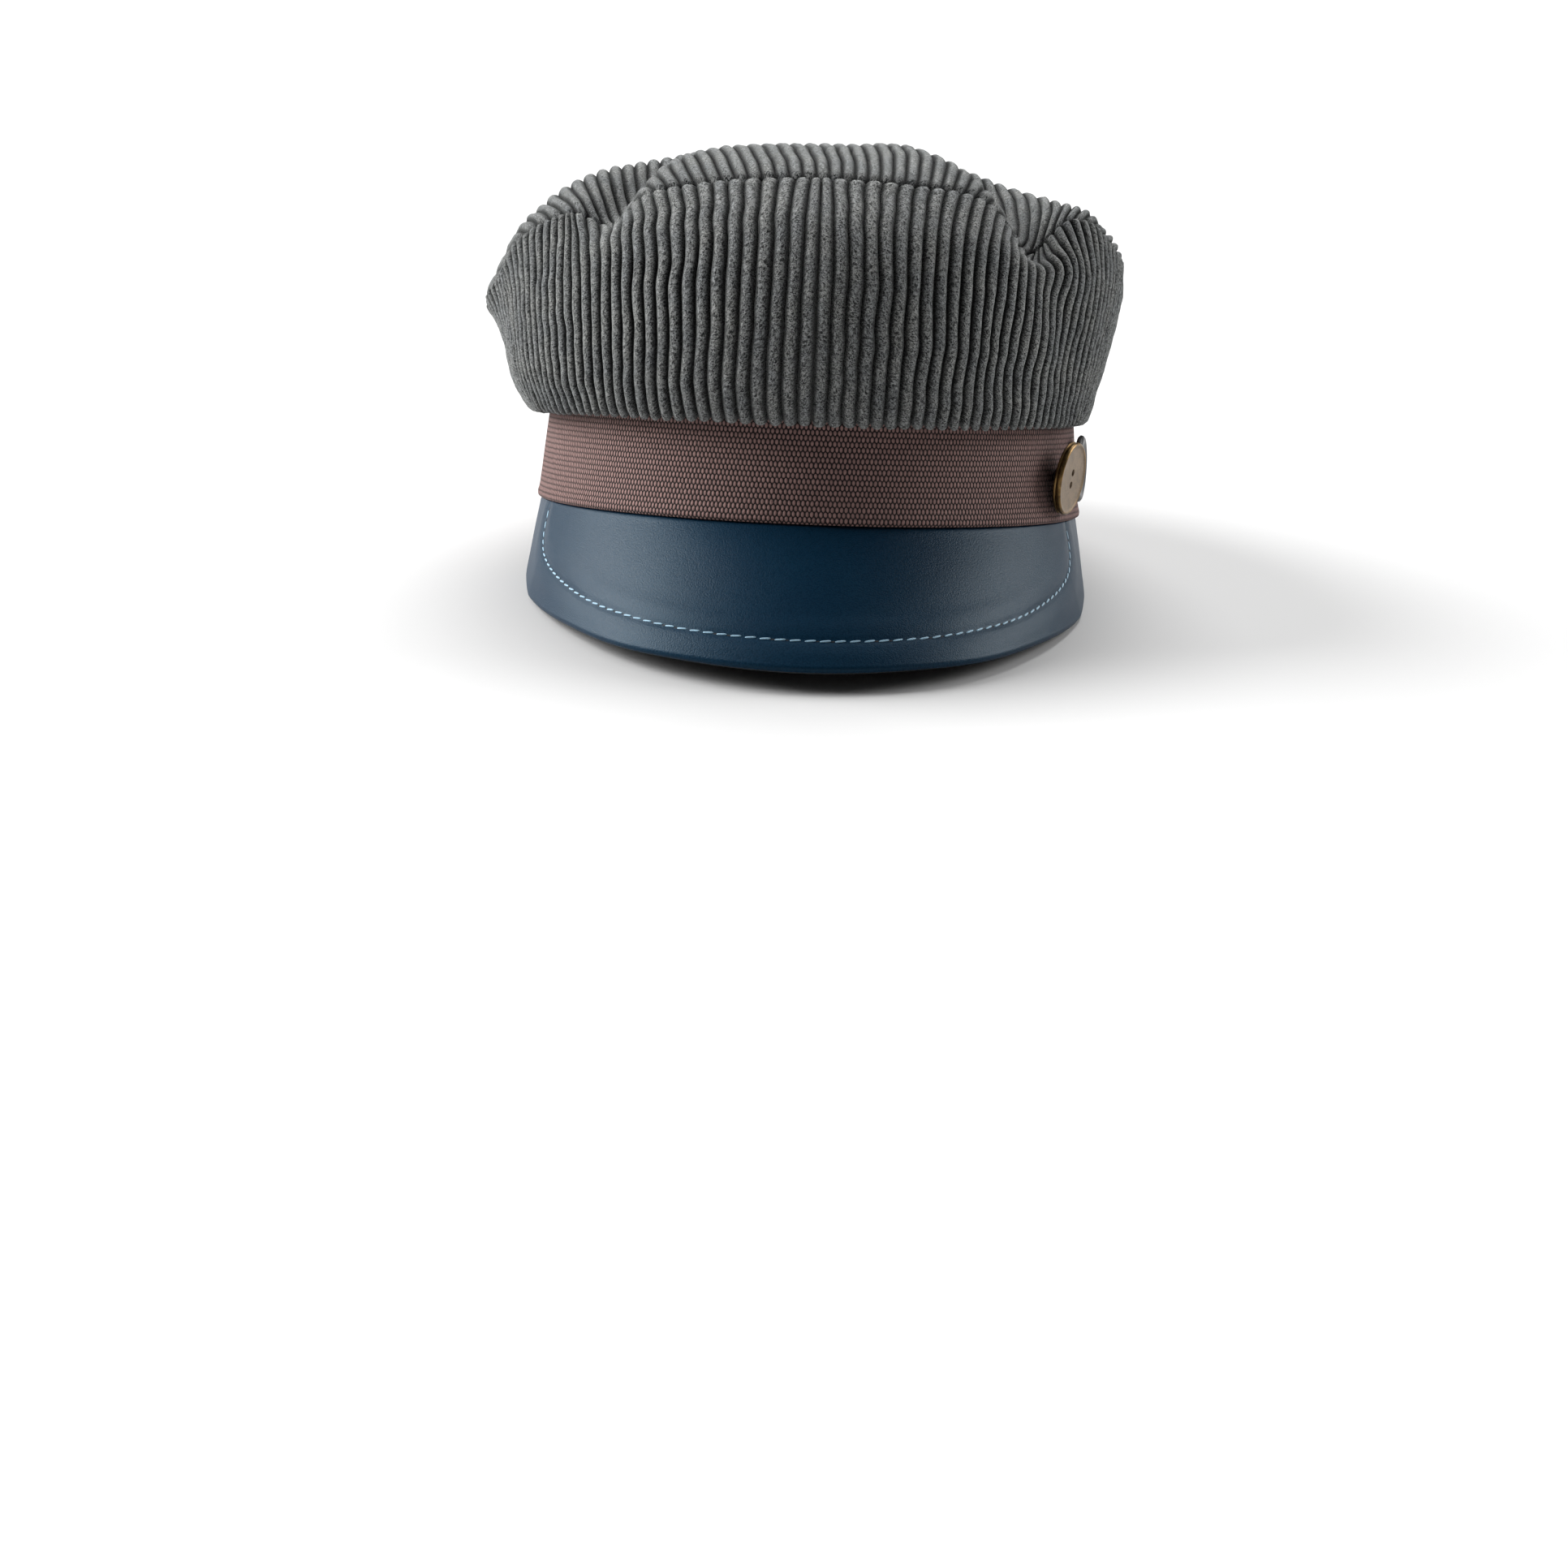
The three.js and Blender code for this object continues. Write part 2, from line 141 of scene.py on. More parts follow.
def along_rows(rows, place):
    """Rows of numbers read between the second row and the last but one, along a smooth curve."""
    index = np.clip(place.astype(int), 0, len(rows) - 4)
    t = (place - index)[..., None]
    before, low, high, after = (rows[index + k] for k in range(4))
    rise = high - before
    bend = 2 * before - 5 * low + 4 * high - after
    turn = 3 * (low - high) + after - before
    return 0.5 * (2 * low + t * (rise + t * (bend + t * turn)))


def soft_noise(x, y, seed):
    """A smooth field of numbers from -1 to 1, one lattice cell for each unit of x and y."""
    size = 64
    lattice = np.random.default_rng(seed).uniform(-1, 1, (size, size))
    i, j = np.floor(x).astype(int), np.floor(y).astype(int)
    u, v = x - i, y - j
    u, v = u * u * (3 - 2 * u), v * v * (3 - 2 * v)
    i, j, right, above = i % size, j % size, (i + 1) % size, (j + 1) % size
    low = lattice[i, j] * (1 - u) + lattice[right, j] * u
    high = lattice[i, above] * (1 - u) + lattice[right, above] * u
    return low * (1 - v) + high * v


# The crown's surfaces, with the angle counted from the front towards the wearer's left

def ring_point(levels, angle):
    """Points at an angle on rings given by their reaches and heights."""
    left, right, front, back, z_front, z_left, z_right, z_back = np.moveaxis(levels, -1, 0)
    aside, ahead = np.sin(angle), np.cos(angle)
    z_aside = np.where(aside > 0, z_left, z_right)
    z_ahead = np.where(ahead > 0, z_front, z_back)
    return np.stack((
        aside * np.where(aside > 0, left, right),
        -ahead * np.where(ahead > 0, front, back),
        z_aside + (z_ahead - z_aside) * np.abs(ahead) ** FRONT_HOLDS_HEIGHT,
    ), -1)


def folded(points):
    """Points of the bare crown, pushed by its dents and swells."""
    moved = points.copy()
    for start, end, towards, width, depth in FOLDS:
        start, line = np.array(start), np.array(end) - np.array(start)
        share = np.clip((points - start) @ line / (line @ line), 0, 1)
        away = np.linalg.norm(points - start - share[..., None] * line, axis=-1)
        way = np.array(towards) - points
        way /= np.linalg.norm(way, axis=-1, keepdims=True)
        moved += way * (depth * np.exp(-((away / width) ** 2)))[..., None]
    return moved


def surface_through(levels, beyond):
    """A surface of the crown, by the angle and the share of the way through its levels."""
    rows = np.vstack((levels[:1], levels, beyond))

    def surface(angle, share):
        place = np.clip(share, 0, 1) * (len(levels) - 1)
        return folded(ring_point(along_rows(rows, place), angle))
    return surface


side_surface = surface_through(SIDE_LEVELS, SIDE_LEVELS[-1:])
# Past its middle the top goes down again on the other side
top_surface = surface_through(
    TOP_LEVELS, np.concatenate((-TOP_LEVELS[-2, :4], TOP_LEVELS[-2, [7, 6, 5, 4]])))


def normals_of(surface, angle, share):
    """The way that a surface of the crown faces."""
    high = np.minimum(share + STEP, 1)
    low = np.maximum(high - 2 * STEP, 0)
    along = surface(angle + STEP, share) - surface(angle - STEP, share)
    up = surface(angle, high) - surface(angle, low)
    normal = np.cross(along, up)
    return normal / np.linalg.norm(normal, axis=-1, keepdims=True)


def lengths(points):
    """How far along a line of points each one lies."""
    steps = np.linalg.norm(np.diff(points, axis=0), axis=1)
    return np.concatenate(((0,), np.cumsum(steps)))


# Meshes

def in_scene(name, data):
    """A new object of some data, in the scene."""
    thing = bpy.data.objects.new(name, data)
    bpy.context.scene.collection.objects.link(thing)
    return thing


def shaped(name, bm):
    """A new object with the shape of a bmesh."""
    mesh = bpy.data.meshes.new(name)
    bm.to_mesh(mesh)
    return in_scene(name, mesh)


def new_piece(name, bm, material, slot, *replaced):
    """The object of a finished bmesh, riding on the cap's one body."""
    piece = shaped(name, bm)
    bm.free()
    piece.data.shade_smooth()
    piece.data.materials.append(material)
    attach(piece, "root")
    if replaced:
        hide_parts(*replaced)
    return piece


def flat_sheet(columns, rows):
    """A flat grid with a thickness, and its points as arrays of column, row and side. The side is
    1 on the inner face and 0 on the outer one."""
    bm = bmesh.new()
    bmesh.ops.create_grid(bm, x_segments=columns, y_segments=rows, size=0.5)
    bmesh.ops.solidify(bm, geom=bm.faces[:], thickness=0.1)
    flat = np.array([vert.co for vert in bm.verts])
    low, high = flat.min(0), flat.max(0)
    column, row, side = ((flat - low) / (high - low)).T
    return bm, np.rint(column * columns), np.rint(row * rows), np.rint(side)


def carry(bm, points):
    """Moves the points of a sheet to their places in the row's frame, with faces outwards."""
    for vert, place in zip(bm.verts, placed(points)):
        vert.co = place
    bmesh.ops.recalc_face_normals(bm, faces=bm.faces[:])


def carry_solid(bm, matrix=Matrix()):
    """Moves a hard piece from its own millimetres, through the cap's, to the row's frame."""
    matrix = CAP_TO_ROW @ Matrix.Scale(MM, 4) @ matrix
    bmesh.ops.transform(bm, matrix=matrix, verts=bm.verts[:])


def lay_uv(piece, u, v):
    """A UV map of the piece with one pair of numbers for each point."""
    mesh = piece.data
    layer = mesh.uv_layers.new(name="cloth")
    corners = np.empty(len(mesh.loops), dtype=np.int32)
    mesh.loops.foreach_get("vertex_index", corners)
    layer.data.foreach_set("uv", np.stack((u, v), -1)[corners].astype(np.float32).ravel())


# Corduroy

COLUMNS_PER_RIB = 10
SIDE_ROWS = 78
TOP_ROWS = 70
PANEL_SAMPLES = 240
TOP_SAMPLES = 120
RIB_ROUNDNESS = 2.1
RIB_FULLNESS = 0.68
# How much a rib's height changes along it, as a share of it, and the fluff on it, in millimetres,
# each with how many cells of noise lie on a rib and how long a cell is
RIB_UNEVENNESS, UNEVEN_CELLS, UNEVEN_LENGTH = 0.13, 0.7, 5
FLUFF_HEIGHT, FLUFF_CELLS, FLUFF_LENGTH = 0.09, 5.3, 0.9
# How far the cloth sinks under the crown's smooth surface, as a share of the rib's height
RIB_SINK = 0.8
# How wide and how deep the cloth turns in at a seam, in millimetres
SEAM_ROUNDING = 1.25
SEAM_SINK = 0.5
SIDE_SEAM_SHARPNESS = 1.9
# How far the ribs draw together where a panel is narrow, from 0 where a seam cuts them off to 1
# where they all run on, and how softly it cuts them off
RIBS_CONVERGE = 0.45
SEAM_CUT = 1.2
# How many ribs beside a seam run straighter than the rest
STRAIGHT_RIBS = 2
# The wander of the ribs: how far they move, and how wide and how high a wave of it is
WANDERS = ((0.30, 17, 11), (0.20, 6, 7), (0.38, 45, 5))


def rib_places(column):
    """Where each column of a sheet lies, in ribs, with the columns closest in the grooves."""
    rib = np.floor(column / COLUMNS_PER_RIB)
    inside = column / COLUMNS_PER_RIB - rib
    return rib + 0.5 - 0.5 * np.cos(np.pi * inside)


def rib_profile(ribs):
    """The height of the cloth over a rib, from 0 in the groove to 1 on the ridge."""
    aside = np.abs(2 * (ribs - np.floor(ribs)) - 1)
    return np.maximum(1 - aside ** RIB_ROUNDNESS, 0) ** RIB_FULLNESS


def dress(settings, points, normals, ribs, along, to_seam, side, seed):
    """The cloth's two faces on the bare surface: ribs outside, flat inside, turned in at seams."""
    height = settings.rib_height / MM
    wall = settings.wall / MM
    change = soft_noise(np.floor(ribs) * UNEVEN_CELLS, along / UNEVEN_LENGTH, seed)
    fluff = FLUFF_HEIGHT * soft_noise(ribs * FLUFF_CELLS, along / FLUFF_LENGTH, seed + 1)
    raised = rib_profile(ribs) * (height * (1 + RIB_UNEVENNESS * change) + fluff)
    close = np.clip(1 - to_seam / SEAM_ROUNDING, 0, 1)
    turned = 1 - np.sqrt(1 - close ** 2)
    outer = raised * (1 - turned) - SEAM_SINK * turned - height * RIB_SINK
    inner = -np.full_like(outer, wall) - height * RIB_SINK
    return points + normals * np.where(side > 0.5, inner, outer)[..., None]


# Where the front panels' ribs are drawn sideways towards a point of the top seam: its angle from
# the front seam, how far they move, how far off, from how low down, and how late they bend
DRAWS = {
    "crown_front_left": ((0, 1.7, 8, 0.70, 1.6), (37, 13.0, 29, 0.74, 1.8)),
    "crown_front_right": ((0, 1.7, 8, 0.70, 1.6), (42, 8.6, 28, 0.78, 1.15)),
}
# Where the ribs of a panel wave: the angle and the height of a turn towards the front, how far
# they move, how wide and how high the wave is, and its length, or none for a single turn
WAVES = {
    "crown_front_left": ((49, 46, 1.25, 14, 24, 22), (38, 29, 2.1, 12, 13, 0)),
    "crown_front_right": ((40, 36, 0.9, 18, 16, 0), (20, 24, -0.7, 20, 8, 0)),
}
# The most that a drawn rib moves, as a share of how far it lies from the point that draws it
MOST_DRAWN = 0.72


def drawn(place, at, share, most, reach, low, late):
    """Places across a panel, drawn sideways to a point of it, the more the nearer the top seam."""
    rising = np.clip((share - low) / (1 - low), 0, 1) ** late
    outboard = np.maximum(place - at, 0)
    pull = most * math.e * outboard / reach * np.exp(-outboard / reach)
    return place - rising * np.minimum(pull, MOST_DRAWN * outboard)


def waved(place, at, height, middle, most, wide, high, length):
    """Places across a panel, moved by a wave of its ribs."""
    turn = math.cos(2 * math.pi * (height - middle) / length) if length else 1
    near = np.exp(-(((place - at) / wide) ** 2) - ((height - middle) / high) ** 2)
    return place - most * turn * near


class CapCrownSettings(bpy.types.PropertyGroup):
    rib_pitch: FloatProperty(
        name="Rib Pitch", description="Distance from rib to rib of the corduroy",
        default=4.2 * MM, min=1 * MM, max=10 * MM, unit="LENGTH", precision=5)
    rib_height: FloatProperty(
        name="Rib Height", description="Height of a rib over its groove",
        default=1.75 * MM, min=0.1 * MM, max=3 * MM, unit="LENGTH", precision=5)
    wall: FloatProperty(
        name="Cloth Wall", description="Thickness of the cloth under the ribs",
        default=1.35 * MM, min=0.5 * MM, max=3 * MM, unit="LENGTH", precision=5)
    # The pile's flecks are painted light and shade: lit tips in the first colour below, shaded
    # roots in the second
    pile_light: FloatVectorProperty(
        name="Pile Tips", description="Colour of the pile where its tips catch the light",
        default=(0.375, 0.382, 0.370), min=0, max=1, subtype="COLOR")
    pile_shade: FloatVectorProperty(
        name="Pile Roots", description="Colour of the pile where it parts",
        default=(0.0085, 0.009, 0.0095), min=0, max=1, subtype="COLOR")


def side_panel(settings, name, start, end, seed):
    """A side panel from its seam at the front or back to the side seam, with ribs up its cloth."""
    angles = np.linspace(start, end, PANEL_SAMPLES)
    turned = np.degrees(np.abs(angles - start))
    rows = np.arange(SIDE_ROWS + 1) / SIDE_ROWS
    sheet = np.stack([side_surface(angles, np.full_like(angles, share)) for share in rows])
    across = [lengths(line) for line in sheet]
    heights = np.stack([lengths(sheet[:, k]) for k in (0, PANEL_SAMPLES // 2, -1)]).mean(0)
    widest = max(line[-1] for line in across)
    ribs_across = round(widest / (settings.rib_pitch / MM))
    bm, column, row, side = flat_sheet(ribs_across * COLUMNS_PER_RIB, SIDE_ROWS)
    ribs = rib_places(column)
    t = ribs / ribs_across
    angle, along, to_side = (np.empty_like(t) for _ in range(3))
    for level, (share, line, height) in enumerate(zip(rows, across, heights)):
        here = row == level
        width = line[-1]
        place = t[here] * (widest * (1 - RIBS_CONVERGE) + width * RIBS_CONVERGE)
        place = width - SEAM_CUT * np.log1p(np.exp((width - place) / SEAM_CUT))
        wander = sum(most * soft_noise(place / wide, np.full_like(place, height / high), seed + k)
                     for k, (most, wide, high) in enumerate(WANDERS, 2))
        to_side_ribs = np.minimum(t[here], 1 - t[here]) * ribs_across
        place = place + wander * np.clip(to_side_ribs / STRAIGHT_RIBS, 0, 1)
        for degrees, middle, most, wide, high, length in WAVES.get(name, ()):
            at = np.interp(degrees, turned, line)
            place = waved(place, at, height, middle, most, wide, high, length)
        for degrees, most, reach, low, late in DRAWS.get(name, ()):
            place = drawn(place, np.interp(degrees, turned, line), share, most, reach, low, late)
        place = place - place.min()
        place *= width / place.max()
        angle[here] = np.interp(place, line, angles)
        along[here] = height
        to_side[here] = np.minimum(place, width - place)
    points = side_surface(angle, row / SIDE_ROWS)
    normals = normals_of(side_surface, angle, row / SIDE_ROWS)
    to_seam = np.minimum(heights[-1] - along, to_side * SIDE_SEAM_SHARPNESS)
    points = dress(settings, points, normals, ribs, along, to_seam, side, seed)
    carry(bm, points)
    piece = new_piece(name + "_cloth", bm, corduroy(settings), "corduroy", name)
    lay_uv(piece, ribs, along)


class CAP_OT_crown_sides(bpy.types.Operator):
    """Make the crown's four side panels"""
    bl_idname = "cap.crown_sides"
    bl_label = "Crown Sides"
    bl_options = {"REGISTER", "UNDO"}

    def execute(self, context):
        settings = context.scene.cap_crown
        side, back = SIDE_SEAM_ANGLE, math.pi
        side_panel(settings, "crown_front_left", 0, side, 11)
        side_panel(settings, "crown_front_right", 0, -side, 22)
        side_panel(settings, "crown_back_left", back, side, 33)
        side_panel(settings, "crown_back_right", back, 2 * back - side, 44)
        return {"FINISHED"}


TOP_GRAIN_TURN = math.radians(3.5)
# How much of the top's half width the ribs span, which keeps the outer two from closing to a point
TOP_HALF_SPAN = 0.9993
# How far the top's ribs wander, in millimetres, how many waves lie over its half width and half
# length, and how far from its edge the wander has its full size, as a share of its half length
TOP_WANDER, WAVES_ACROSS, WAVES_ALONG = 0.35, 6, 8
TOP_EDGE = 0.1
# How near the middle of the top its normals are read, as a share of the way there
TOP_NORMALS_TO = 0.97


class CAP_OT_crown_top(bpy.types.Operator):
    """Make the crown's top panel, with its ribs from front to back"""
    bl_idname = "cap.crown_top"
    bl_label = "Crown Top"
    bl_options = {"REGISTER", "UNDO"}

    def execute(self, context):
        settings = context.scene.cap_crown
        shares = np.linspace(1, 0, TOP_SAMPLES)
        arms = [lengths(top_surface(np.full_like(shares, angle), shares))
                for angle in (-math.pi / 2, math.pi / 2)]
        half_width = (arms[0][-1] + arms[1][-1]) / 2
        outwards = (arms[0] / arms[0][-1] + arms[1] / arms[1][-1]) / 2
        ribs_across = 2 * round(half_width / (settings.rib_pitch / MM))
        bm, column, row, side = flat_sheet(ribs_across * COLUMNS_PER_RIB, TOP_ROWS)
        ribs = rib_places(column)
        across = (2 * ribs / ribs_across - 1) * TOP_HALF_SPAN
        chord = np.sqrt(1 - across ** 2)
        share_along = 2 * row / TOP_ROWS - 1
        ahead = chord * 0.5 * (share_along + np.sin(share_along * math.pi / 2))
        wander = soft_noise(across * WAVES_ACROSS, ahead * WAVES_ALONG, 7)
        inside = np.clip((chord - np.abs(ahead)) / TOP_EDGE, 0, 1)
        across += TOP_WANDER / half_width * wander * inside
        turn, level = math.sin(TOP_GRAIN_TURN), math.cos(TOP_GRAIN_TURN)
        x = across * level + ahead * turn
        y = ahead * level - across * turn
        radius = np.minimum(np.hypot(x, y), 1)
        angle = np.arctan2(x, y)
        share = np.interp(radius, outwards, shares)
        points = top_surface(angle, share)
        normals = normals_of(top_surface, angle, np.minimum(share, TOP_NORMALS_TO))
        along, to_seam = ahead * half_width, (1 - radius) * half_width
        points = dress(settings, points, normals, ribs, along, to_seam, side, 55)
        carry(bm, points)
        piece = new_piece("crown_top_cloth", bm, corduroy(settings), "corduroy", "crown_top")
        lay_uv(piece, ribs, along)
        return {"FINISHED"}


# Band

class CapBandSettings(bpy.types.PropertyGroup):
    cell_width: FloatProperty(
        name="Cell Width", description="Width of one bead of the weave",
        default=1.26 * MM, min=0.3 * MM, max=5 * MM, unit="LENGTH", precision=5)
    cell_height: FloatProperty(
        name="Cell Height", description="Height of one row of the weave",
        default=1.48 * MM, min=0.3 * MM, max=5 * MM, unit="LENGTH", precision=5)
    yarn_light: FloatVectorProperty(
        name="Yarn", description="Colour of the yarn",
        default=(0.240, 0.145, 0.133), min=0, max=1, subtype="COLOR")
    # The dark between the beads is painted shade, where each bead falls away into its gap
    bead_gap_shade: FloatVectorProperty(
        name="Yarn Shade", description="Colour between the beads of the weave",
        default=(0.0045, 0.0022, 0.0022), min=0, max=1, subtype="COLOR")


BAND_STEPS = 288
BAND_ROWS = 20
BAND_EDGE = 0.7
BAND_EDGE_STEPS = 4
BAND_SAMPLES = 721
SPIN_RADIUS = 100.0
# The band's soft waves, how wide and how high one is, and the roll along its lower edge with its
# height and half width
BAND_SWELL = 0.25
SWELL_WIDE, SWELL_HIGH = 23, 14
BAND_ROLL = 0.35
ROLL_HEIGHT = 1.6
ROLL_WIDTH = 1.3


def band_points(angle, outwards, height):
    """Points round the band, by how far they stand off its inner face and their height."""
    spread = outwards + BAND_FLARE * (1 - height / BAND_HEIGHT)
    to_end = np.where(np.cos(angle) > 0, HEAD_TO_FRONT, HEAD_TO_BACK)
    return np.stack((
        np.sin(angle) * (HEAD_HALF_WIDTH + spread),
        -np.cos(angle) * (to_end + spread),
        height + np.zeros_like(angle),
    ), -1)


class CAP_OT_band(bpy.types.Operator):
    """Make the woven band"""
    bl_idname = "cap.band"
    bl_label = "Band"
    bl_options = {"REGISTER", "UNDO"}

    def execute(self, context):
        settings = context.scene.cap_band
        bm = bmesh.new()
        # The band's section, as outwards and height, with rounded edges
        bmesh.ops.create_grid(bm, x_segments=1, y_segments=BAND_ROWS, size=0.5)
        bmesh.ops.scale(bm, vec=(BAND_WALL, BAND_HEIGHT, 1), verts=bm.verts[:])
        shift = Vector((BAND_WALL / 2, BAND_HEIGHT / 2, 0))
        bmesh.ops.translate(bm, vec=shift, verts=bm.verts[:])
        inner_edges = [edge for edge in bm.edges if not edge.is_boundary]
        bmesh.ops.delete(bm, geom=bm.faces[:], context="FACES_KEEP_BOUNDARY")
        stray = [edge for edge in inner_edges if edge.is_valid]
        bmesh.ops.delete(bm, geom=stray, context="EDGES")
        corners = [vert for vert in bm.verts
                   if min(vert.co.y, BAND_HEIGHT - vert.co.y) < 1e-6]
        bmesh.ops.bevel(bm, geom=corners, offset=BAND_EDGE, affect="VERTICES",
                        segments=BAND_EDGE_STEPS, profile=0.5, material=-1)
        # The section stands upright off the axis and is spun round it, then takes the band's oval
        for vert in bm.verts:
            vert.co = Vector((0, -SPIN_RADIUS - vert.co.x, vert.co.y))
        bmesh.ops.spin(bm, geom=bm.verts[:] + bm.edges[:], angle=2 * math.pi, steps=BAND_STEPS,
                       axis=(0, 0, 1), cent=(0, 0, 0), use_merge=True)
        x, y, height = np.array([vert.co for vert in bm.verts]).T
        angle = np.arctan2(x, -y)
        outwards = np.hypot(x, y) - SPIN_RADIUS
        ring = np.linspace(-math.pi, math.pi, BAND_SAMPLES)
        around = lengths(band_points(ring, np.full_like(ring, BAND_WALL), np.zeros_like(ring)))
        place = np.interp(angle, ring, around)
        wave = BAND_SWELL * soft_noise(place / SWELL_WIDE, height / SWELL_HIGH, 5)
        lower_roll = BAND_ROLL * np.exp(-((height - ROLL_HEIGHT) / ROLL_WIDTH) ** 2)
        sheet = outwards + np.where(outwards > BAND_WALL / 2, wave + lower_roll, 0)
        carry(bm, band_points(angle, sheet, height))
        piece = new_piece("band_webbing", bm, webbing(settings), "webbing", "band")
        cells = round(around[-1] * MM / settings.cell_width)
        lay_uv(piece, place / around[-1] * cells, height * MM / settings.cell_height)
        close_uv(piece, cells)
        return {"FINISHED"}


def close_uv(piece, whole):
    """Carries the UV map on past its whole length on the faces that close the ring."""
    layer = piece.data.uv_layers["cloth"]
    for face in piece.data.polygons:
        places = [layer.data[k].uv.x for k in face.loop_indices]
        if max(places) - min(places) > whole / 2:
            for k in face.loop_indices:
                if layer.data[k].uv.x < whole / 2:
                    layer.data[k].uv.x += whole


# Peak

class CapPeakSettings(bpy.types.PropertyGroup):
    leather: FloatVectorProperty(
        name="Leather", description="Colour of the peak's leather",
        default=(0.0010, 0.0150, 0.0340), min=0, max=1, subtype="COLOR")
    leather_worn: FloatVectorProperty(
        name="Leather High Spots", description="Colour of the leather on its grain",
        default=(0.0028, 0.0220, 0.0470), min=0, max=1, subtype="COLOR")
    underlay: FloatVectorProperty(
        name="Underlay", description="Colour of the lining leather under the peak",
        default=(0.006, 0.008, 0.011), min=0, max=1, subtype="COLOR")
    stitch_pitch: FloatProperty(
        name="Stitch Pitch", description="Distance from stitch to stitch",
        default=4.0 * MM, min=1 * MM, max=10 * MM, unit="LENGTH", precision=5)
    stitch_length: FloatProperty(
        name="Stitch Length", description="Length of thread that shows in each stitch",
        default=3.0 * MM, min=0.5 * MM, max=10 * MM, unit="LENGTH", precision=5)
    thread: FloatVectorProperty(
        name="Thread", description="Colour of the seam's thread",
        default=(0.30, 0.52, 0.68), min=0, max=1, subtype="COLOR")


PEAK_COLUMNS = 380
PEAK_ROWS = 84
# The groove that the seam presses into the leather, and the swell on both sides of it
SEAM_PRESS = 0.34
SEAM_WIDTH = 1.0
SEAM_SWELL = 0.22
SWELL_OFF = 4.4
SWELL_WIDTH = 2.6
STITCH_WIDTH = 0.55
STITCH_HEIGHT = 0.45
STITCH_TILT = math.radians(7)
SEAM_SAMPLES = 400
STITCH_SAMPLES = 1201
# Each needle hole is a flat dark mark on the leather, a painted shadow of the hole
# How much wider than the thread a needle's hole is, how much longer than the gap between two
# stitches, and how high it stands
NEEDLE_HOLE_WIDENING = 1.15
NEEDLE_HOLE_OVERLAP = 0.15
NEEDLE_HOLE_HEIGHT = 0.16
# How far a stitch's middle stands over the leather, as a share of its height
STITCH_STAND = 0.3

# The seam runs over the peak from the band on one side to the band on the other: the angle, and
# how far down the peak it lies there
SEAM_ANGLES = np.radians((0, 15, 30, 45, 54, 60, 64.5, 67, 68))
SEAM_RUNS = np.array((41, 38.6, 32, 24, 19, 14.8, 9.5, 4, 0.6))


def by_angle(table, angle):
    """A column of the peak's table at an angle, the same to both sides."""
    place = np.interp(np.abs(angle), PEAK_ANGLES, np.arange(len(PEAK_ANGLES)))
    column = table[:, None]
    rows = np.vstack((column[1:2], column, column[-1:]))
    return along_rows(rows, place)[..., 0]


def band_outwards(angle):
    """The level way out from the band."""
    along = band_points(angle + STEP, 0, 0) - band_points(angle - STEP, 0, 0)
    way = np.stack((along[..., 1], -along[..., 0], np.zeros_like(angle)), -1)
    return way / np.linalg.norm(way, axis=-1, keepdims=True)


def peak_reach(angle, inset):
    """How far the leather reaches from the band, with its corners rounded."""
    into = np.maximum(np.abs(angle) - (PEAK_END_ANGLE - PEAK_CORNER), 0) / PEAK_CORNER
    rounded = np.sqrt(np.maximum(1 - into ** 2, 0))
    return np.maximum(by_angle(PEAK_REACHES, angle) * rounded - inset, PEAK_LEAST_REACH)


def peak_surface(angle, share, below, inset=0.0):
    """Points of the peak and the way that its face looks there."""
    slope = by_angle(PEAK_SLOPES, angle)[..., None]
    up = np.array((0, 0, 1.0))
    outwards = band_outwards(angle)
    down_slope = outwards * np.cos(slope) - up * np.sin(slope)
    face = outwards * np.sin(slope) + up * np.cos(slope)
    crowning = PEAK_CROWNING * 4 * share * (1 - share) * np.cos(angle)
    run = peak_reach(angle, inset) * share
    start = band_points(angle, BAND_WALL - PEAK_TUCK, np.zeros_like(angle))
    start = start - up * (GAP * (1 - TUCK_CLOSES * np.exp(-run / TUCK_LENGTH)))[..., None]
    return start + down_slope * run[..., None] + face * (crowning - below)[..., None], face


def seam_line(count):
    """Points along the seam on the peak's face, and the way that the face looks there."""
    place = np.linspace(1 - len(SEAM_RUNS), len(SEAM_RUNS) - 1, count)
    rows = np.stack((SEAM_ANGLES, SEAM_RUNS), -1)
    rows = np.vstack((rows[1:2] * (-1, 1), rows, rows[-1:]))
    angle, run = along_rows(rows, np.abs(place)).T
    angle = angle * np.sign(place)
    return peak_surface(angle, run / peak_reach(angle, 0), np.full_like(angle, SEAM_PRESS))


def off_seam(points):
    """How far points of the peak's face lie from the seam."""
    line, _ = seam_line(SEAM_SAMPLES)
    tree = kdtree.KDTree(len(line))
    for index, place in enumerate(line):
        tree.insert(place, index)
    tree.balance()
    return np.array([tree.find(place)[2] for place in points])


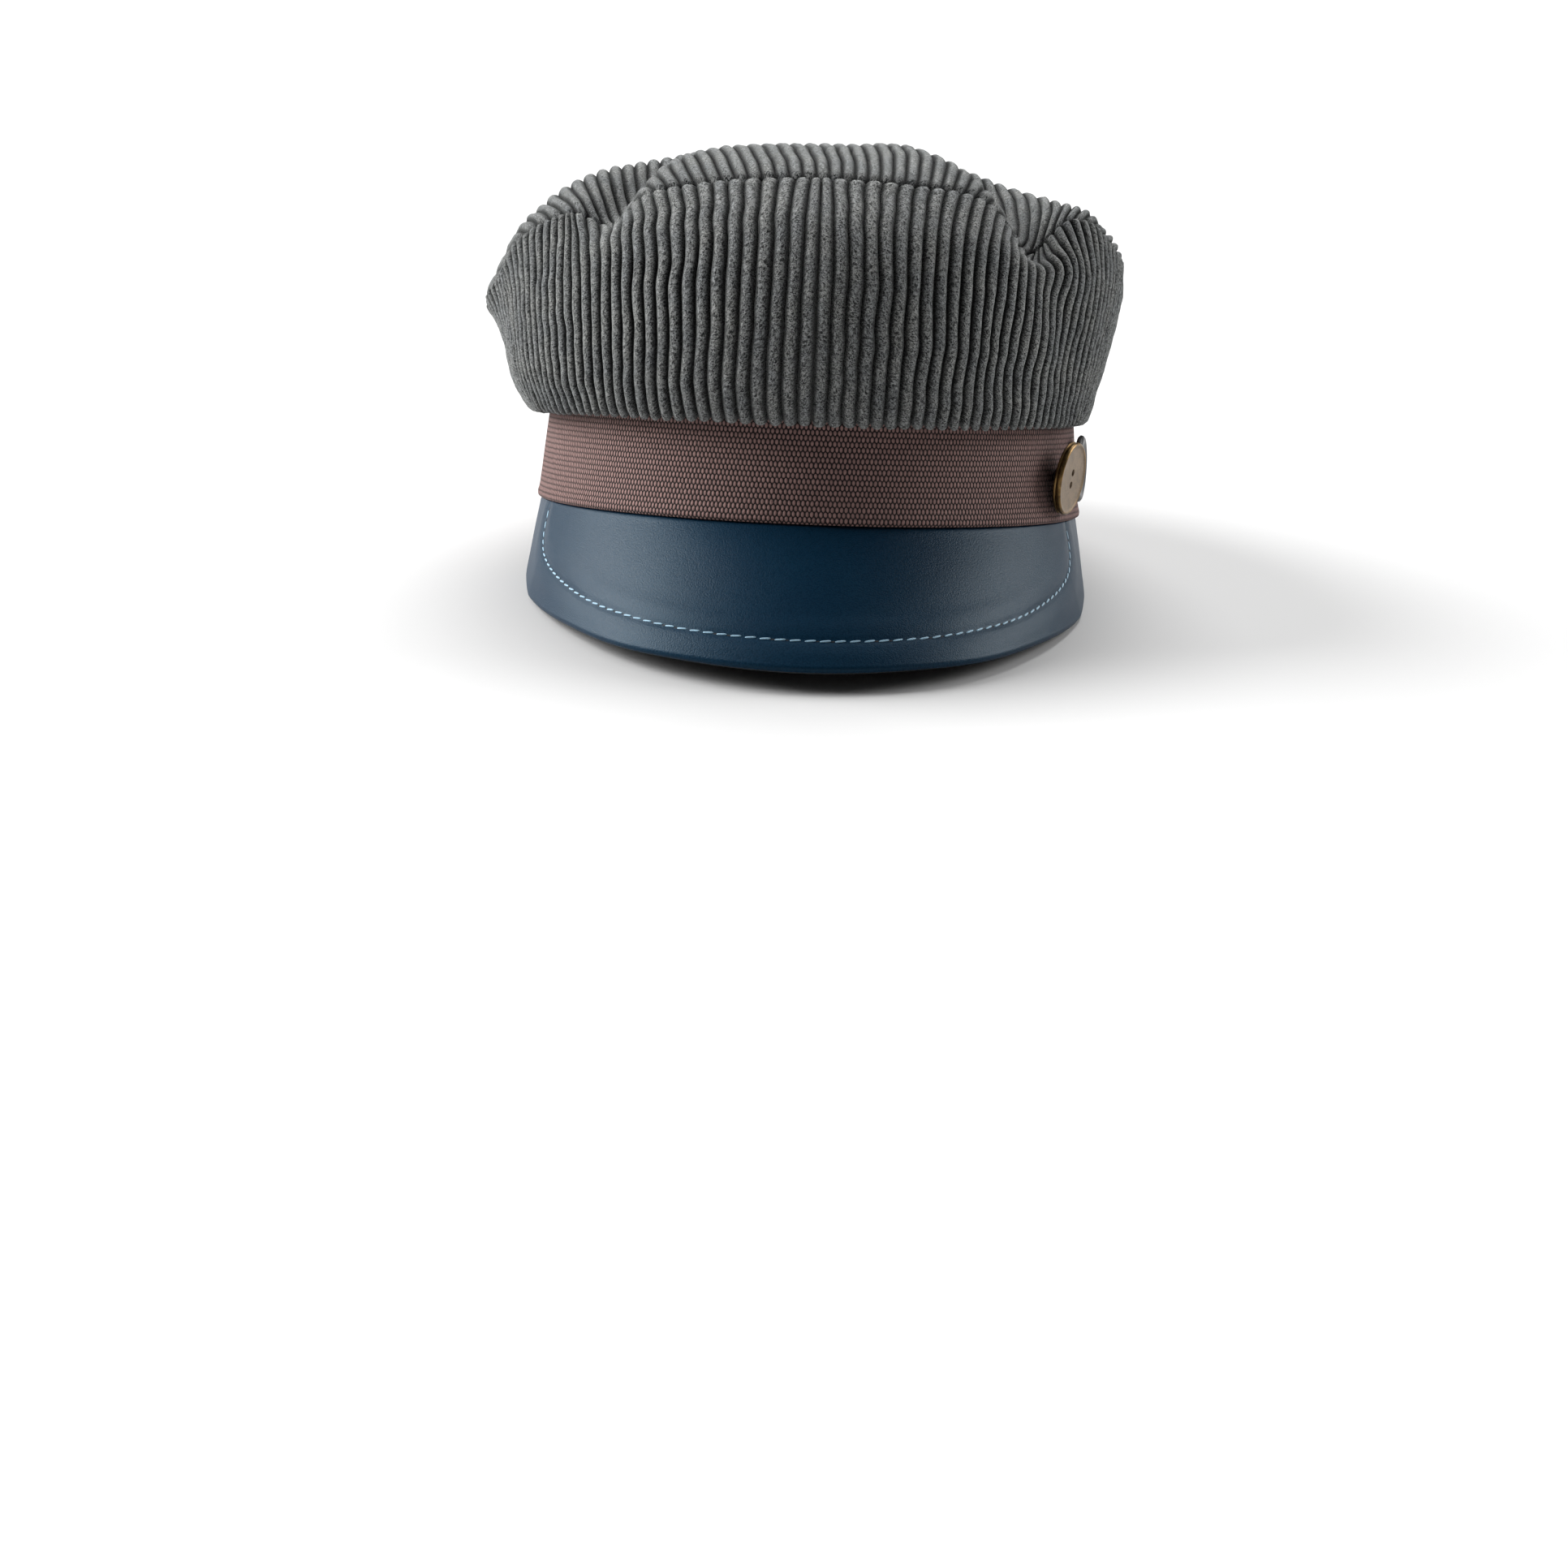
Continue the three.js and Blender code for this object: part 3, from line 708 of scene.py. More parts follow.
def leather_sheet(name, material, slot, depth, wall, inset, pressed):
    """A layer of the peak's leather with a round edge, its face a depth below the peak's own."""
    bm, column, row, side = flat_sheet(PEAK_COLUMNS, PEAK_ROWS)
    angle = PEAK_END_ANGLE * np.sin(math.pi * (column / PEAK_COLUMNS - 0.5))
    share = np.sin(math.pi / 2 * row / PEAK_ROWS)
    reach = peak_reach(angle, inset)
    to_edge = (1 - share) * reach
    edge_radius = wall / 2
    close = np.clip(1 - to_edge / edge_radius, 0, 1)
    rounding = edge_radius * (1 - np.sqrt(1 - close ** 2))
    below = np.where(side > 0.5, wall - rounding, rounding)
    if pressed:
        away = off_seam(peak_surface(angle, share, np.full_like(angle, SEAM_PRESS))[0])
        swell = SEAM_SWELL * np.exp(-(((away - SWELL_OFF) / SWELL_WIDTH) ** 2))
        press = SEAM_PRESS * np.exp(-((away / SEAM_WIDTH) ** 2))
        below = below + np.where(side > 0.5, 0, press - swell)
    points, _ = peak_surface(angle, share, depth + below, inset)
    carry(bm, points)
    piece = new_piece(name, bm, material, slot, name.removesuffix("_leather"))
    lay_uv(piece, angle / PEAK_END_ANGLE, share)
    return piece


class CAP_OT_peak(bpy.types.Operator):
    """Make the leather peak and its underlay"""
    bl_idname = "cap.peak"
    bl_label = "Peak"
    bl_options = {"REGISTER", "UNDO"}

    def execute(self, context):
        settings = context.scene.cap_peak
        leather_sheet("peak_leather", peak_leather(settings), "peak_leather",
                      0, PEAK_WALL, 0, True)
        leather_sheet("peak_underlay_leather", underlay_leather(settings), "underlay_leather",
                      PEAK_WALL + GAP, UNDERLAY_WALL, UNDERLAY_INSET, False)
        return {"FINISHED"}


class CAP_OT_peak_seam(bpy.types.Operator):
    """Make the stitches of the peak's seam"""
    bl_idname = "cap.peak_seam"
    bl_label = "Peak Seam"
    bl_options = {"REGISTER", "UNDO"}

    def execute(self, context):
        settings = context.scene.cap_peak
        pitch = settings.stitch_pitch / MM
        length = settings.stitch_length / MM
        line, face = seam_line(STITCH_SAMPLES)
        run = lengths(line)
        count = int(run[-1] / pitch)
        bm = bmesh.new()
        turn = Matrix.Rotation(STITCH_TILT, 4, "Z")
        for k in range(2 * count + 1):
            middle = k * pitch / 2 + (run[-1] - count * pitch) / 2
            is_hole_shadow = k % 2 == 0
            at = [Vector([np.interp(middle + off, run, line[:, j]) for j in range(3)])
                  for off in (-0.5, 0, 0.5)]
            up = Vector([np.interp(middle, run, face[:, j]) for j in range(3)]).normalized()
            along = (at[2] - at[0]).normalized()
            across = up.cross(along).normalized()
            axes = Matrix((along, across, along.cross(across))).transposed().to_4x4()
            # A dark mark between two stitches: painted shadow of the needle hole
            if is_hole_shadow:
                size = (pitch - length + NEEDLE_HOLE_OVERLAP,
                        STITCH_WIDTH * NEEDLE_HOLE_WIDENING, NEEDLE_HOLE_HEIGHT)
                sink = Matrix.Translation(at[1])
            else:
                size = (length, STITCH_WIDTH, STITCH_HEIGHT)
                sink = Matrix.Translation(at[1] + up * STITCH_HEIGHT * STITCH_STAND)
            ball = bmesh.ops.create_uvsphere(bm, u_segments=10, v_segments=8, radius=0.5)
            for vert in ball["verts"]:
                end = min(abs(2 * vert.co.z), 1)
                vert.co.xy *= math.sqrt((1 - end ** 4) / max(1 - end ** 2, 1e-6))
            lie = Matrix.Diagonal((*size, 1)) @ Matrix.Rotation(math.pi / 2, 4, "Y")
            bmesh.ops.transform(bm, matrix=sink @ axes @ turn @ lie, verts=ball["verts"])
            for face_of in {f for vert in ball["verts"] for f in vert.link_faces}:
                face_of.material_index = 1 if is_hole_shadow else 0
        carry_solid(bm)
        piece = new_piece("peak_seam", bm, thread_blue(settings), "peak_leather")
        piece.data.materials.append(needle_hole_shadow())
        return {"FINISHED"}


# Buttons

class CapButtonSettings(bpy.types.PropertyGroup):
    brass: FloatVectorProperty(
        name="Brass", description="Colour of the brass button's dull face",
        default=(0.235, 0.172, 0.112), min=0, max=1, subtype="COLOR")
    brass_edge: FloatVectorProperty(
        name="Brass Edge", description="Colour of the brass where it is worn bright",
        default=(0.23, 0.138, 0.050), min=0, max=1, subtype="COLOR")
    black: FloatVectorProperty(
        name="Black Button", description="Colour of the black button",
        default=(0.003, 0.003, 0.003), min=0, max=1, subtype="COLOR")
    spin_steps: IntProperty(
        name="Spin Steps", description="Steps round each button", default=72, min=12, max=256)


# A button's size, its angle round the band, height, stand off the band and droop of its face
BUTTONS = {
    "front_button": {"radius": 10.7, "thick": 2.6, "angle": 60.5, "height": 13.8,
                     "off": 3.4, "droop": 7.5},
    "rear_button": {"radius": 10.0, "thick": 2.2, "angle": 74.0, "height": 15.2,
                    "off": 1.2, "droop": 0.0},
}
# Where the brass is worn bright: past a share of the radius, and over a share of the thickness on
# the rim
WORN_PAST = 0.952
WORN_OVER = 0.955
RIM_PAST = 0.8
SHARP_ANGLE = math.radians(38)

HOLE_RADIUS = 0.95
HOLE_SPACING = 3.6
HOLE_STEPS = 24
# The hole's cutter, as shares of the hole's radius and heights in millimetres: it flares both ways
CUTTER_SECTION = ((0, -4), (1.45, -4), (1, 1.0), (1, 1.7), (1.08, 2.0), (1.45, 2.9), (1.45, 6),
                  (0, 6))

# The thread is wound round a core, and the stem starts a little off the band, in millimetres
THREAD_THICK = 0.55
STEM_CORE = 1.75
STEM_BULGE = 0.3
STEM_STEPS = 28
STEM_LIFT = 0.2
STEPS_PER_THREAD = 5

# Sections from the middle of the back round to the middle of the face, as shares of the radius
# and of the thickness
BRASS_SECTION = ((0, 0), (0.9, 0), (0.975, 0.1), (1, 0.26), (0.985, 0.40), (0.955, 0.46),
                 (0.985, 0.52), (1, 0.66), (0.99, 0.84), (0.965, 0.96), (0.94, 1), (0.91, 0.965),
                 (0.885, 0.885), (0.80, 0.855), (0.5, 0.84), (0, 0.835))
BLACK_SECTION = ((0, 0), (0.84, 0), (0.95, 0.14), (1, 0.42), (0.985, 0.74), (0.93, 0.94),
                 (0.86, 1), (0.78, 0.97), (0.70, 0.82), (0.55, 0.76), (0, 0.76))


def button_place(spec):
    """The matrix that seats a button's axis along +Z on the band, in the cap's millimetres."""
    angle = np.array(math.radians(spec["angle"]))
    outwards = Vector(band_outwards(angle))
    droop = math.radians(spec["droop"])
    facing = Vector((outwards.x, outwards.y, -math.tan(droop))).normalized()
    side = Vector((0, 0, 1)).cross(facing).normalized()
    turn = Matrix((side, facing.cross(side), facing)).transposed().to_4x4()
    sewn = Vector(band_points(angle, BAND_WALL, spec["height"]))
    return Matrix.Translation(sewn) @ turn


def spun(section, steps):
    """A closed body spun round +Z from a section of points, as radius and height."""
    bm = bmesh.new()
    verts = [bm.verts.new((radius, 0, height)) for radius, height in section]
    edges = [bm.edges.new(pair) for pair in zip(verts, verts[1:])]
    bmesh.ops.spin(bm, geom=verts + edges, angle=2 * math.pi, steps=steps,
                   axis=(0, 0, 1), cent=(0, 0, 0), use_merge=True)
    bmesh.ops.remove_doubles(bm, verts=bm.verts[:], dist=1e-4)
    bmesh.ops.recalc_face_normals(bm, faces=bm.faces[:])
    return bm


def drill(bm):
    """Cuts a button's two thread holes through it with flared cutters."""
    button = shaped("blank", bm)
    things = [button]
    section = [(HOLE_RADIUS * share, height) for share, height in CUTTER_SECTION]
    for way in (-1, 1):
        tool = spun(section, HOLE_STEPS)
        bmesh.ops.translate(tool, vec=(0, way * HOLE_SPACING / 2, 0), verts=tool.verts[:])
        cutter = shaped("cutter", tool)
        tool.free()
        things.append(cutter)
        cut = button.modifiers.new("Hole", "BOOLEAN")
        cut.operation = "DIFFERENCE"
        cut.object = cutter
        cut.solver = "EXACT"
    seen = bpy.context.evaluated_depsgraph_get()
    result = bpy.data.meshes.new_from_object(button.evaluated_get(seen))
    bm.clear()
    bm.from_mesh(result)
    # An object goes with its mesh
    for mesh in [result] + [thing.data for thing in things]:
        bpy.data.meshes.remove(mesh)


def thread_stem(name, spec):
    """The thread under a button: turns of thread wound round a core."""
    length = spec["off"] - GAP - STEM_LIFT
    turns = max(round(length / THREAD_THICK), 2)
    section = [(0.0, 0.0)]
    for k in range(turns * STEPS_PER_THREAD):
        place = (k + 0.5) / STEPS_PER_THREAD
        bulge = STEM_CORE + STEM_BULGE * math.sin(math.pi * (place % 1))
        section.append((bulge, length * place / turns))
    section.append((0.0, length))
    bm = spun(section, STEM_STEPS)
    carry_solid(bm, button_place(spec) @ Matrix.Translation((0, 0, STEM_LIFT)))
    new_piece(name + "_thread", bm, waxed_thread(), "button_thread", name + "_stem")


class CAP_OT_buttons(bpy.types.Operator):
    """Make the two buttons and the thread under each"""
    bl_idname = "cap.buttons"
    bl_label = "Buttons"
    bl_options = {"REGISTER", "UNDO"}

    def execute(self, context):
        settings = context.scene.cap_buttons
        looks = {
            "front_button": (BRASS_SECTION, antique_brass(settings), "antique_brass"),
            "rear_button": (BLACK_SECTION, black_horn(settings), "black_button"),
        }
        for name, spec in BUTTONS.items():
            section, material, slot = looks[name]
            bm = spun([(x * spec["radius"], z * spec["thick"]) for x, z in section],
                      settings.spin_steps)
            drill(bm)
            carry_solid(bm, button_place(spec) @ Matrix.Translation((0, 0, spec["off"])))
            piece = new_piece(name + "_disc", bm, material, slot, name)
            piece.data.set_sharp_from_angle(angle=SHARP_ANGLE)
            if name == "front_button":
                piece.data.materials.append(worn_brass(settings))
                self.wear_edge(piece, spec)
            thread_stem(name, spec)
        return {"FINISHED"}

    def wear_edge(self, piece, spec):
        """The brighter finish on the button's side and on the crest of its rim."""
        to_button = (CAP_TO_ROW @ Matrix.Scale(MM, 4) @ button_place(spec)).inverted()
        for face in piece.data.polygons:
            middle = to_button @ face.center
            out = math.hypot(middle.x, middle.y) / spec["radius"]
            up = (middle.z - spec["off"]) / spec["thick"]
            face.material_index = int(out > WORN_PAST or (up > WORN_OVER and out > RIM_PAST))


# Materials

def set_sockets(tree, made, sockets):
    """Gives each socket of a node its value, or links it where the value is another's output."""
    for socket, value in sockets.items():
        target = made.inputs[socket]
        if isinstance(value, bpy.types.NodeSocket):
            tree.links.new(value, target)
        elif target.type == "RGBA":
            target.default_value = (*value[:3], 1)
        else:
            target.default_value = value


def node(tree, kind, sockets, **options):
    """A node of a kind, with its options and sockets set."""
    made = tree.nodes.new(kind)
    for option, value in options.items():
        setattr(made, option, value)
    set_sockets(tree, made, sockets)
    return made


def sums(tree, operation, first, second=0.0, third=0.0):
    """The output of a Math node."""
    made = node(tree, "ShaderNodeMath", {0: first, 1: second, 2: third}, operation=operation)
    return made.outputs[0]


def ramp(tree, factor, low, high):
    """A smooth step from 0 to 1 between two values."""
    made = node(tree, "ShaderNodeMapRange", {"Value": factor, "From Min": low, "From Max": high},
                interpolation_type="SMOOTHSTEP")
    return made.outputs["Result"]


def mixed(tree, factor, first, second, blend="MIX"):
    """The colour output of a Mix node."""
    made = node(tree, "ShaderNodeMix", {0: factor, 6: first, 7: second},
                data_type="RGBA", blend_type=blend)
    return made.outputs[2]


def mapped(tree, vector, **change):
    """A vector scaled or turned."""
    return node(tree, "ShaderNodeMapping", {"Vector": vector, **change}).outputs[0]


def in_object(tree, scale=(1, 1, 1)):
    """Object coordinates, scaled."""
    start = node(tree, "ShaderNodeTexCoord", {}).outputs["Object"]
    return mapped(tree, start, Scale=scale)


def on_cloth(tree, scale=(1, 1, 1)):
    """The cloth's own map, scaled."""
    start = node(tree, "ShaderNodeUVMap", {}, uv_map="cloth").outputs[0]
    return mapped(tree, start, Scale=scale)


def noise(tree, vector, scale, detail=2.0, roughness=0.5, distortion=0.0, output="Fac"):
    """An output of a Noise Texture node."""
    made = node(tree, "ShaderNodeTexNoise", {
        "Vector": vector, "Scale": scale, "Detail": detail, "Roughness": roughness,
        "Distortion": distortion})
    return made.outputs[output]


def bumped(tree, height, depth):
    """The normal of a surface whose relief is a height of 0 to 1 over a depth in millimetres."""
    made = node(tree, "ShaderNodeBump", {"Height": height, "Distance": depth * MM, "Strength": 1.0})
    return made.outputs[0]


def toned(colour, share):
    """A colour made darker or lighter."""
    return tuple(share * c for c in colour)


def finish(name):
    """Turns a function that gives a shader's sockets into one that makes the material, once."""
    def kept(sockets_of):
        def material_of(settings=None):
            material = bpy.data.materials.get(name)
            if material is None:
                material = bpy.data.materials.new(name)
                material.use_nodes = True
                tree = material.node_tree
                set_sockets(tree, tree.nodes["Principled BSDF"], sockets_of(tree, settings))
            return material
        return material_of
    return kept


TUFT_LEAN = math.radians(-52)
TUFT_LENGTHENING = 0.62


@finish("Corduroy")
def corduroy(tree, settings):
    ribs = node(tree, "ShaderNodeSeparateXYZ", {0: on_cloth(tree)}).outputs[0]
    inside = sums(tree, "MULTIPLY_ADD", sums(tree, "FRACT", ribs), 2.0, -1.0)
    # Painted shade fills the grooves between the ribs, partly the darker base weave that shows
    # there; the crests keep the pile's colour
    ridge = ramp(tree, sums(tree, "ABSOLUTE", inside), 0.92, 0.28)
    tufts = on_cloth(tree, (settings.rib_pitch / MM, 1, 1))
    leaning = mapped(tree, tufts, Rotation=(0, 0, TUFT_LEAN))
    fleck = noise(tree, mapped(tree, leaning, Scale=(1, TUFT_LENGTHENING, 1)), 1.9, 2.0, 0.6, 1.1)
    crumb = noise(tree, tufts, 3.4, 3.0, 0.65, 0.6)
    patch = noise(tree, tufts, 0.10)
    pile = sums(tree, "MULTIPLY_ADD", fleck, 0.62, sums(tree, "MULTIPLY", crumb, 0.58))
    # Random flecks of painted light on the pile's tips and painted shade at its roots
    shade = mixed(tree, ramp(tree, pile, 0.48, 0.74), settings.pile_shade, settings.pile_light)
    shade = mixed(tree, ramp(tree, patch, 0.3, 0.7), shade, (0.78, 0.80, 0.84), "MULTIPLY")
    return {
        # Near black in the grooves, a third of the pile's shade colour: painted shade
        "Base Color": mixed(tree, ridge, toned(settings.pile_shade, 0.3), shade),
        "Roughness": 0.95, "Specular IOR Level": 0.15,
        "Sheen Weight": 0.45, "Sheen Roughness": 0.30, "Sheen Tint": (0.72, 0.75, 0.73),
        "Normal": bumped(tree, pile, 0.70)}


# Half the width and half the length of a bead of the weave, in cells
BEAD_WIDTH = 0.478
BEAD_LENGTH = 0.655


@finish("Webbing")
def webbing(tree, settings):
    across, up, _ = node(tree, "ShaderNodeSeparateXYZ", {0: on_cloth(tree)}).outputs
    bend = noise(tree, on_cloth(tree), 0.55, 1.0)
    across = sums(tree, "MULTIPLY_ADD", bend, 0.3, across)
    up = sums(tree, "MULTIPLY_ADD", bend, 0.24, up)
    # Two sets of beads, each half a cell and one row off the other
    domes = []
    for shift in (0.0, 0.5):
        aside = sums(tree, "SUBTRACT", sums(tree, "FRACT", sums(tree, "ADD", across, shift)), 0.5)
        turn = sums(tree, "FRACT", sums(tree, "MULTIPLY_ADD", up, 0.5, shift))
        above = sums(tree, "MULTIPLY_ADD", turn, 2.0, -1.0)
        fall = sums(tree, "MULTIPLY", sums(tree, "MULTIPLY", aside, aside), BEAD_WIDTH ** -2)
        square = sums(tree, "MULTIPLY", above, above)
        fall = sums(tree, "MULTIPLY_ADD", square, BEAD_LENGTH ** -2, fall)
        domes.append(sums(tree, "SUBTRACT", 1.0, fall))
    bead = sums(tree, "SQRT", sums(tree, "MAXIMUM", sums(tree, "MAXIMUM", *domes), 0.0))
    strands = noise(tree, on_cloth(tree, (7, 0.9, 1)), 1.0)
    speckle = noise(tree, on_cloth(tree), 0.9, 3.0)
    yarn = mixed(tree, ramp(tree, speckle, 0.35, 0.7), settings.yarn_light,
                 toned(settings.yarn_light, 0.66))
    yarn = mixed(tree, sums(tree, "MULTIPLY", strands, 0.5), yarn, toned(settings.yarn_light, 1.5))
    return {
        # Painted shade between the beads, darker where a bead's dome falls away
        "Base Color": mixed(tree, ramp(tree, bead, 0.50, 0.90), settings.bead_gap_shade, yarn),
        "Roughness": 0.85, "Specular IOR Level": 0.25,
        "Sheen Weight": 0.12, "Sheen Roughness": 0.4, "Sheen Tint": (0.85, 0.62, 0.56),
        "Normal": bumped(tree, sums(tree, "MULTIPLY_ADD", strands, 0.16, bead), 0.50)}


def grain_relief(tree, size):
    """The height of a leather grain of pebbles of a size, broken by fine creases."""
    place = in_object(tree)
    drift = noise(tree, place, 0.7 / size, output="Color")
    drift = node(tree, "ShaderNodeVectorMath", {0: drift, "Scale": 0.55 * size}, operation="SCALE")
    warped = node(tree, "ShaderNodeVectorMath", {0: place, 1: drift.outputs[0]}, operation="ADD")
    warped = warped.outputs[0]
    pebbles = node(tree, "ShaderNodeTexVoronoi", {"Vector": warped, "Scale": 1 / size},
                   feature="SMOOTH_F1").outputs["Distance"]
    creases = noise(tree, warped, 1.9 / size, 3.0, 0.6, 0.9)
    rounded = sums(tree, "SUBTRACT", 1.0, ramp(tree, pebbles, 0.1, 0.75))
    return sums(tree, "MULTIPLY_ADD", creases, 0.7, sums(tree, "MULTIPLY", rounded, 0.55))


PEAK_GRAIN = 0.38 * MM
UNDERLAY_GRAIN = 0.7 * MM


@finish("Peak leather")
def peak_leather(tree, settings):
    relief = grain_relief(tree, PEAK_GRAIN)
    cloudy = noise(tree, in_object(tree), 38, 3.0)
    colour = mixed(tree, ramp(tree, relief, 0.35, 0.85), settings.leather, settings.leather_worn)
    return {
        "Base Color": mixed(tree, ramp(tree, cloudy, 0.3, 0.75), colour, (0.84, 0.88, 0.92),
                            "MULTIPLY"),
        "Roughness": sums(tree, "MULTIPLY_ADD", relief, 0.08, 0.34),
        "Specular IOR Level": 0.14, "Specular Tint": (0.62, 0.87, 1.0),
        "Normal": bumped(tree, relief, 0.060)}


@finish("Underlay leather")
def underlay_leather(tree, settings):
    relief = grain_relief(tree, UNDERLAY_GRAIN)
    return {
        "Base Color": mixed(tree, relief, settings.underlay, toned(settings.underlay, 2.2)),
        "Roughness": 0.55, "Normal": bumped(tree, relief, 0.05)}


@finish("Seam thread")
def thread_blue(tree, settings):
    twist = noise(tree, in_object(tree), 5200)
    return {
        "Base Color": mixed(tree, ramp(tree, twist, 0.3, 0.7), toned(settings.thread, 0.55),
                            settings.thread),
        "Roughness": 0.5, "Sheen Weight": 0.3, "Normal": bumped(tree, twist, 0.06)}


# Painted shadow of a needle hole, near black
@finish("Needle hole shadow")
def needle_hole_shadow(tree, settings):
    speck = noise(tree, in_object(tree), 3000)
    return {
        "Base Color": mixed(tree, speck, (0.0015, 0.002, 0.003), (0.006, 0.010, 0.016)),
        "Roughness": 0.8}


@finish("Antique brass")
def antique_brass(tree, settings):
    tarnish = noise(tree, in_object(tree), 300, 4.0, 0.6, 0.4)
    streaks = noise(tree, in_object(tree, (1, 1, 5)), 900, 3.0, 0.6)
    tone = sums(tree, "MULTIPLY_ADD", streaks, 0.5, sums(tree, "MULTIPLY", tarnish, 0.6))
    return {
        "Base Color": mixed(tree, ramp(tree, tone, 0.36, 0.72), toned(settings.brass, 0.6),
                            settings.brass),
        "Metallic": 0.55, "Roughness": sums(tree, "MULTIPLY_ADD", streaks, 0.2, 0.38),
        "Normal": bumped(tree, tone, 0.045)}


@finish("Worn brass edge")
def worn_brass(tree, settings):
    wear = noise(tree, in_object(tree), 420, 3.0, 0.6, 0.3)
    return {
        "Base Color": mixed(tree, ramp(tree, wear, 0.3, 0.65), toned(settings.brass_edge, 0.45),
                            settings.brass_edge),
        "Metallic": 0.85, "Roughness": sums(tree, "MULTIPLY_ADD", wear, 0.2, 0.26),
        "Normal": bumped(tree, wear, 0.03)}


@finish("Black horn")
def black_horn(tree, settings):
    smear = noise(tree, in_object(tree), 160, 3.0)
    return {
        "Base Color": mixed(tree, smear, settings.black, toned(settings.black, 2.5)),
        "Roughness": sums(tree, "MULTIPLY_ADD", smear, 0.2, 0.22), "Specular IOR Level": 0.16,
        "Normal": bumped(tree, smear, 0.03)}


@finish("Waxed thread")
def waxed_thread(tree, settings):
    strand = noise(tree, in_object(tree), 4200, 3.0)
    return {
        "Base Color": mixed(tree, strand, (0.003, 0.002, 0.002), (0.018, 0.013, 0.010)),
        "Roughness": 0.55, "Normal": bumped(tree, strand, 0.08)}


@finish("Floor")
def pale_floor(tree, settings):
    mottle = noise(tree, in_object(tree), 3)
    return {
        "Base Color": mixed(tree, mottle, settings.floor, toned(settings.floor, 0.98)),
        "Roughness": 0.7}


# Stage

class CapStageSettings(bpy.types.PropertyGroup):
    floor: FloatVectorProperty(
        name="Floor", description="Colour of the floor",
        default=(0.51, 0.51, 0.51), min=0, max=1, subtype="COLOR")
    sky: FloatProperty(
        name="Fill", description="Strength of the even light from all round",
        default=0.10, min=0, max=5)
    camera_distance: FloatProperty(
        name="Camera Distance", description="Distance from the middle of the band's lower edge",
        default=0.83, min=0.2, max=5, unit="LENGTH")
    camera_elevation: FloatProperty(
        name="Camera Elevation", description="Height of the camera over the band's lower plane",
        default=math.radians(3.2), subtype="ANGLE")
    camera_roll: FloatProperty(
        name="Camera Roll", description="How far the cap leans over in the picture",
        default=math.radians(2.3), subtype="ANGLE")
    lens: FloatProperty(
        name="Lens", description="Focal length of the camera, in millimetres",
        default=60.56, min=10, max=200)


FLOOR_HALF = 6
# The picture's side and where the middle of the band's lower edge falls in it, in pixels from its
# upper left corner, and the width of the camera's sensor in millimetres
PICTURE_SIDE = 1932
ORIGIN_IN_PICTURE = (996, 620)
SENSOR = 36.0

# Lights: direction they come from, as an angle from the front towards the wearer's left, height
# over the floor, width in the sky, all in degrees, and strength
LIGHTS = (
    ("left_light", -106, 30, 50, 6.5),
    ("right_light", 114, 25, 34, 2.3),
    ("back_light", 176, 52, 40, 3.4),
)


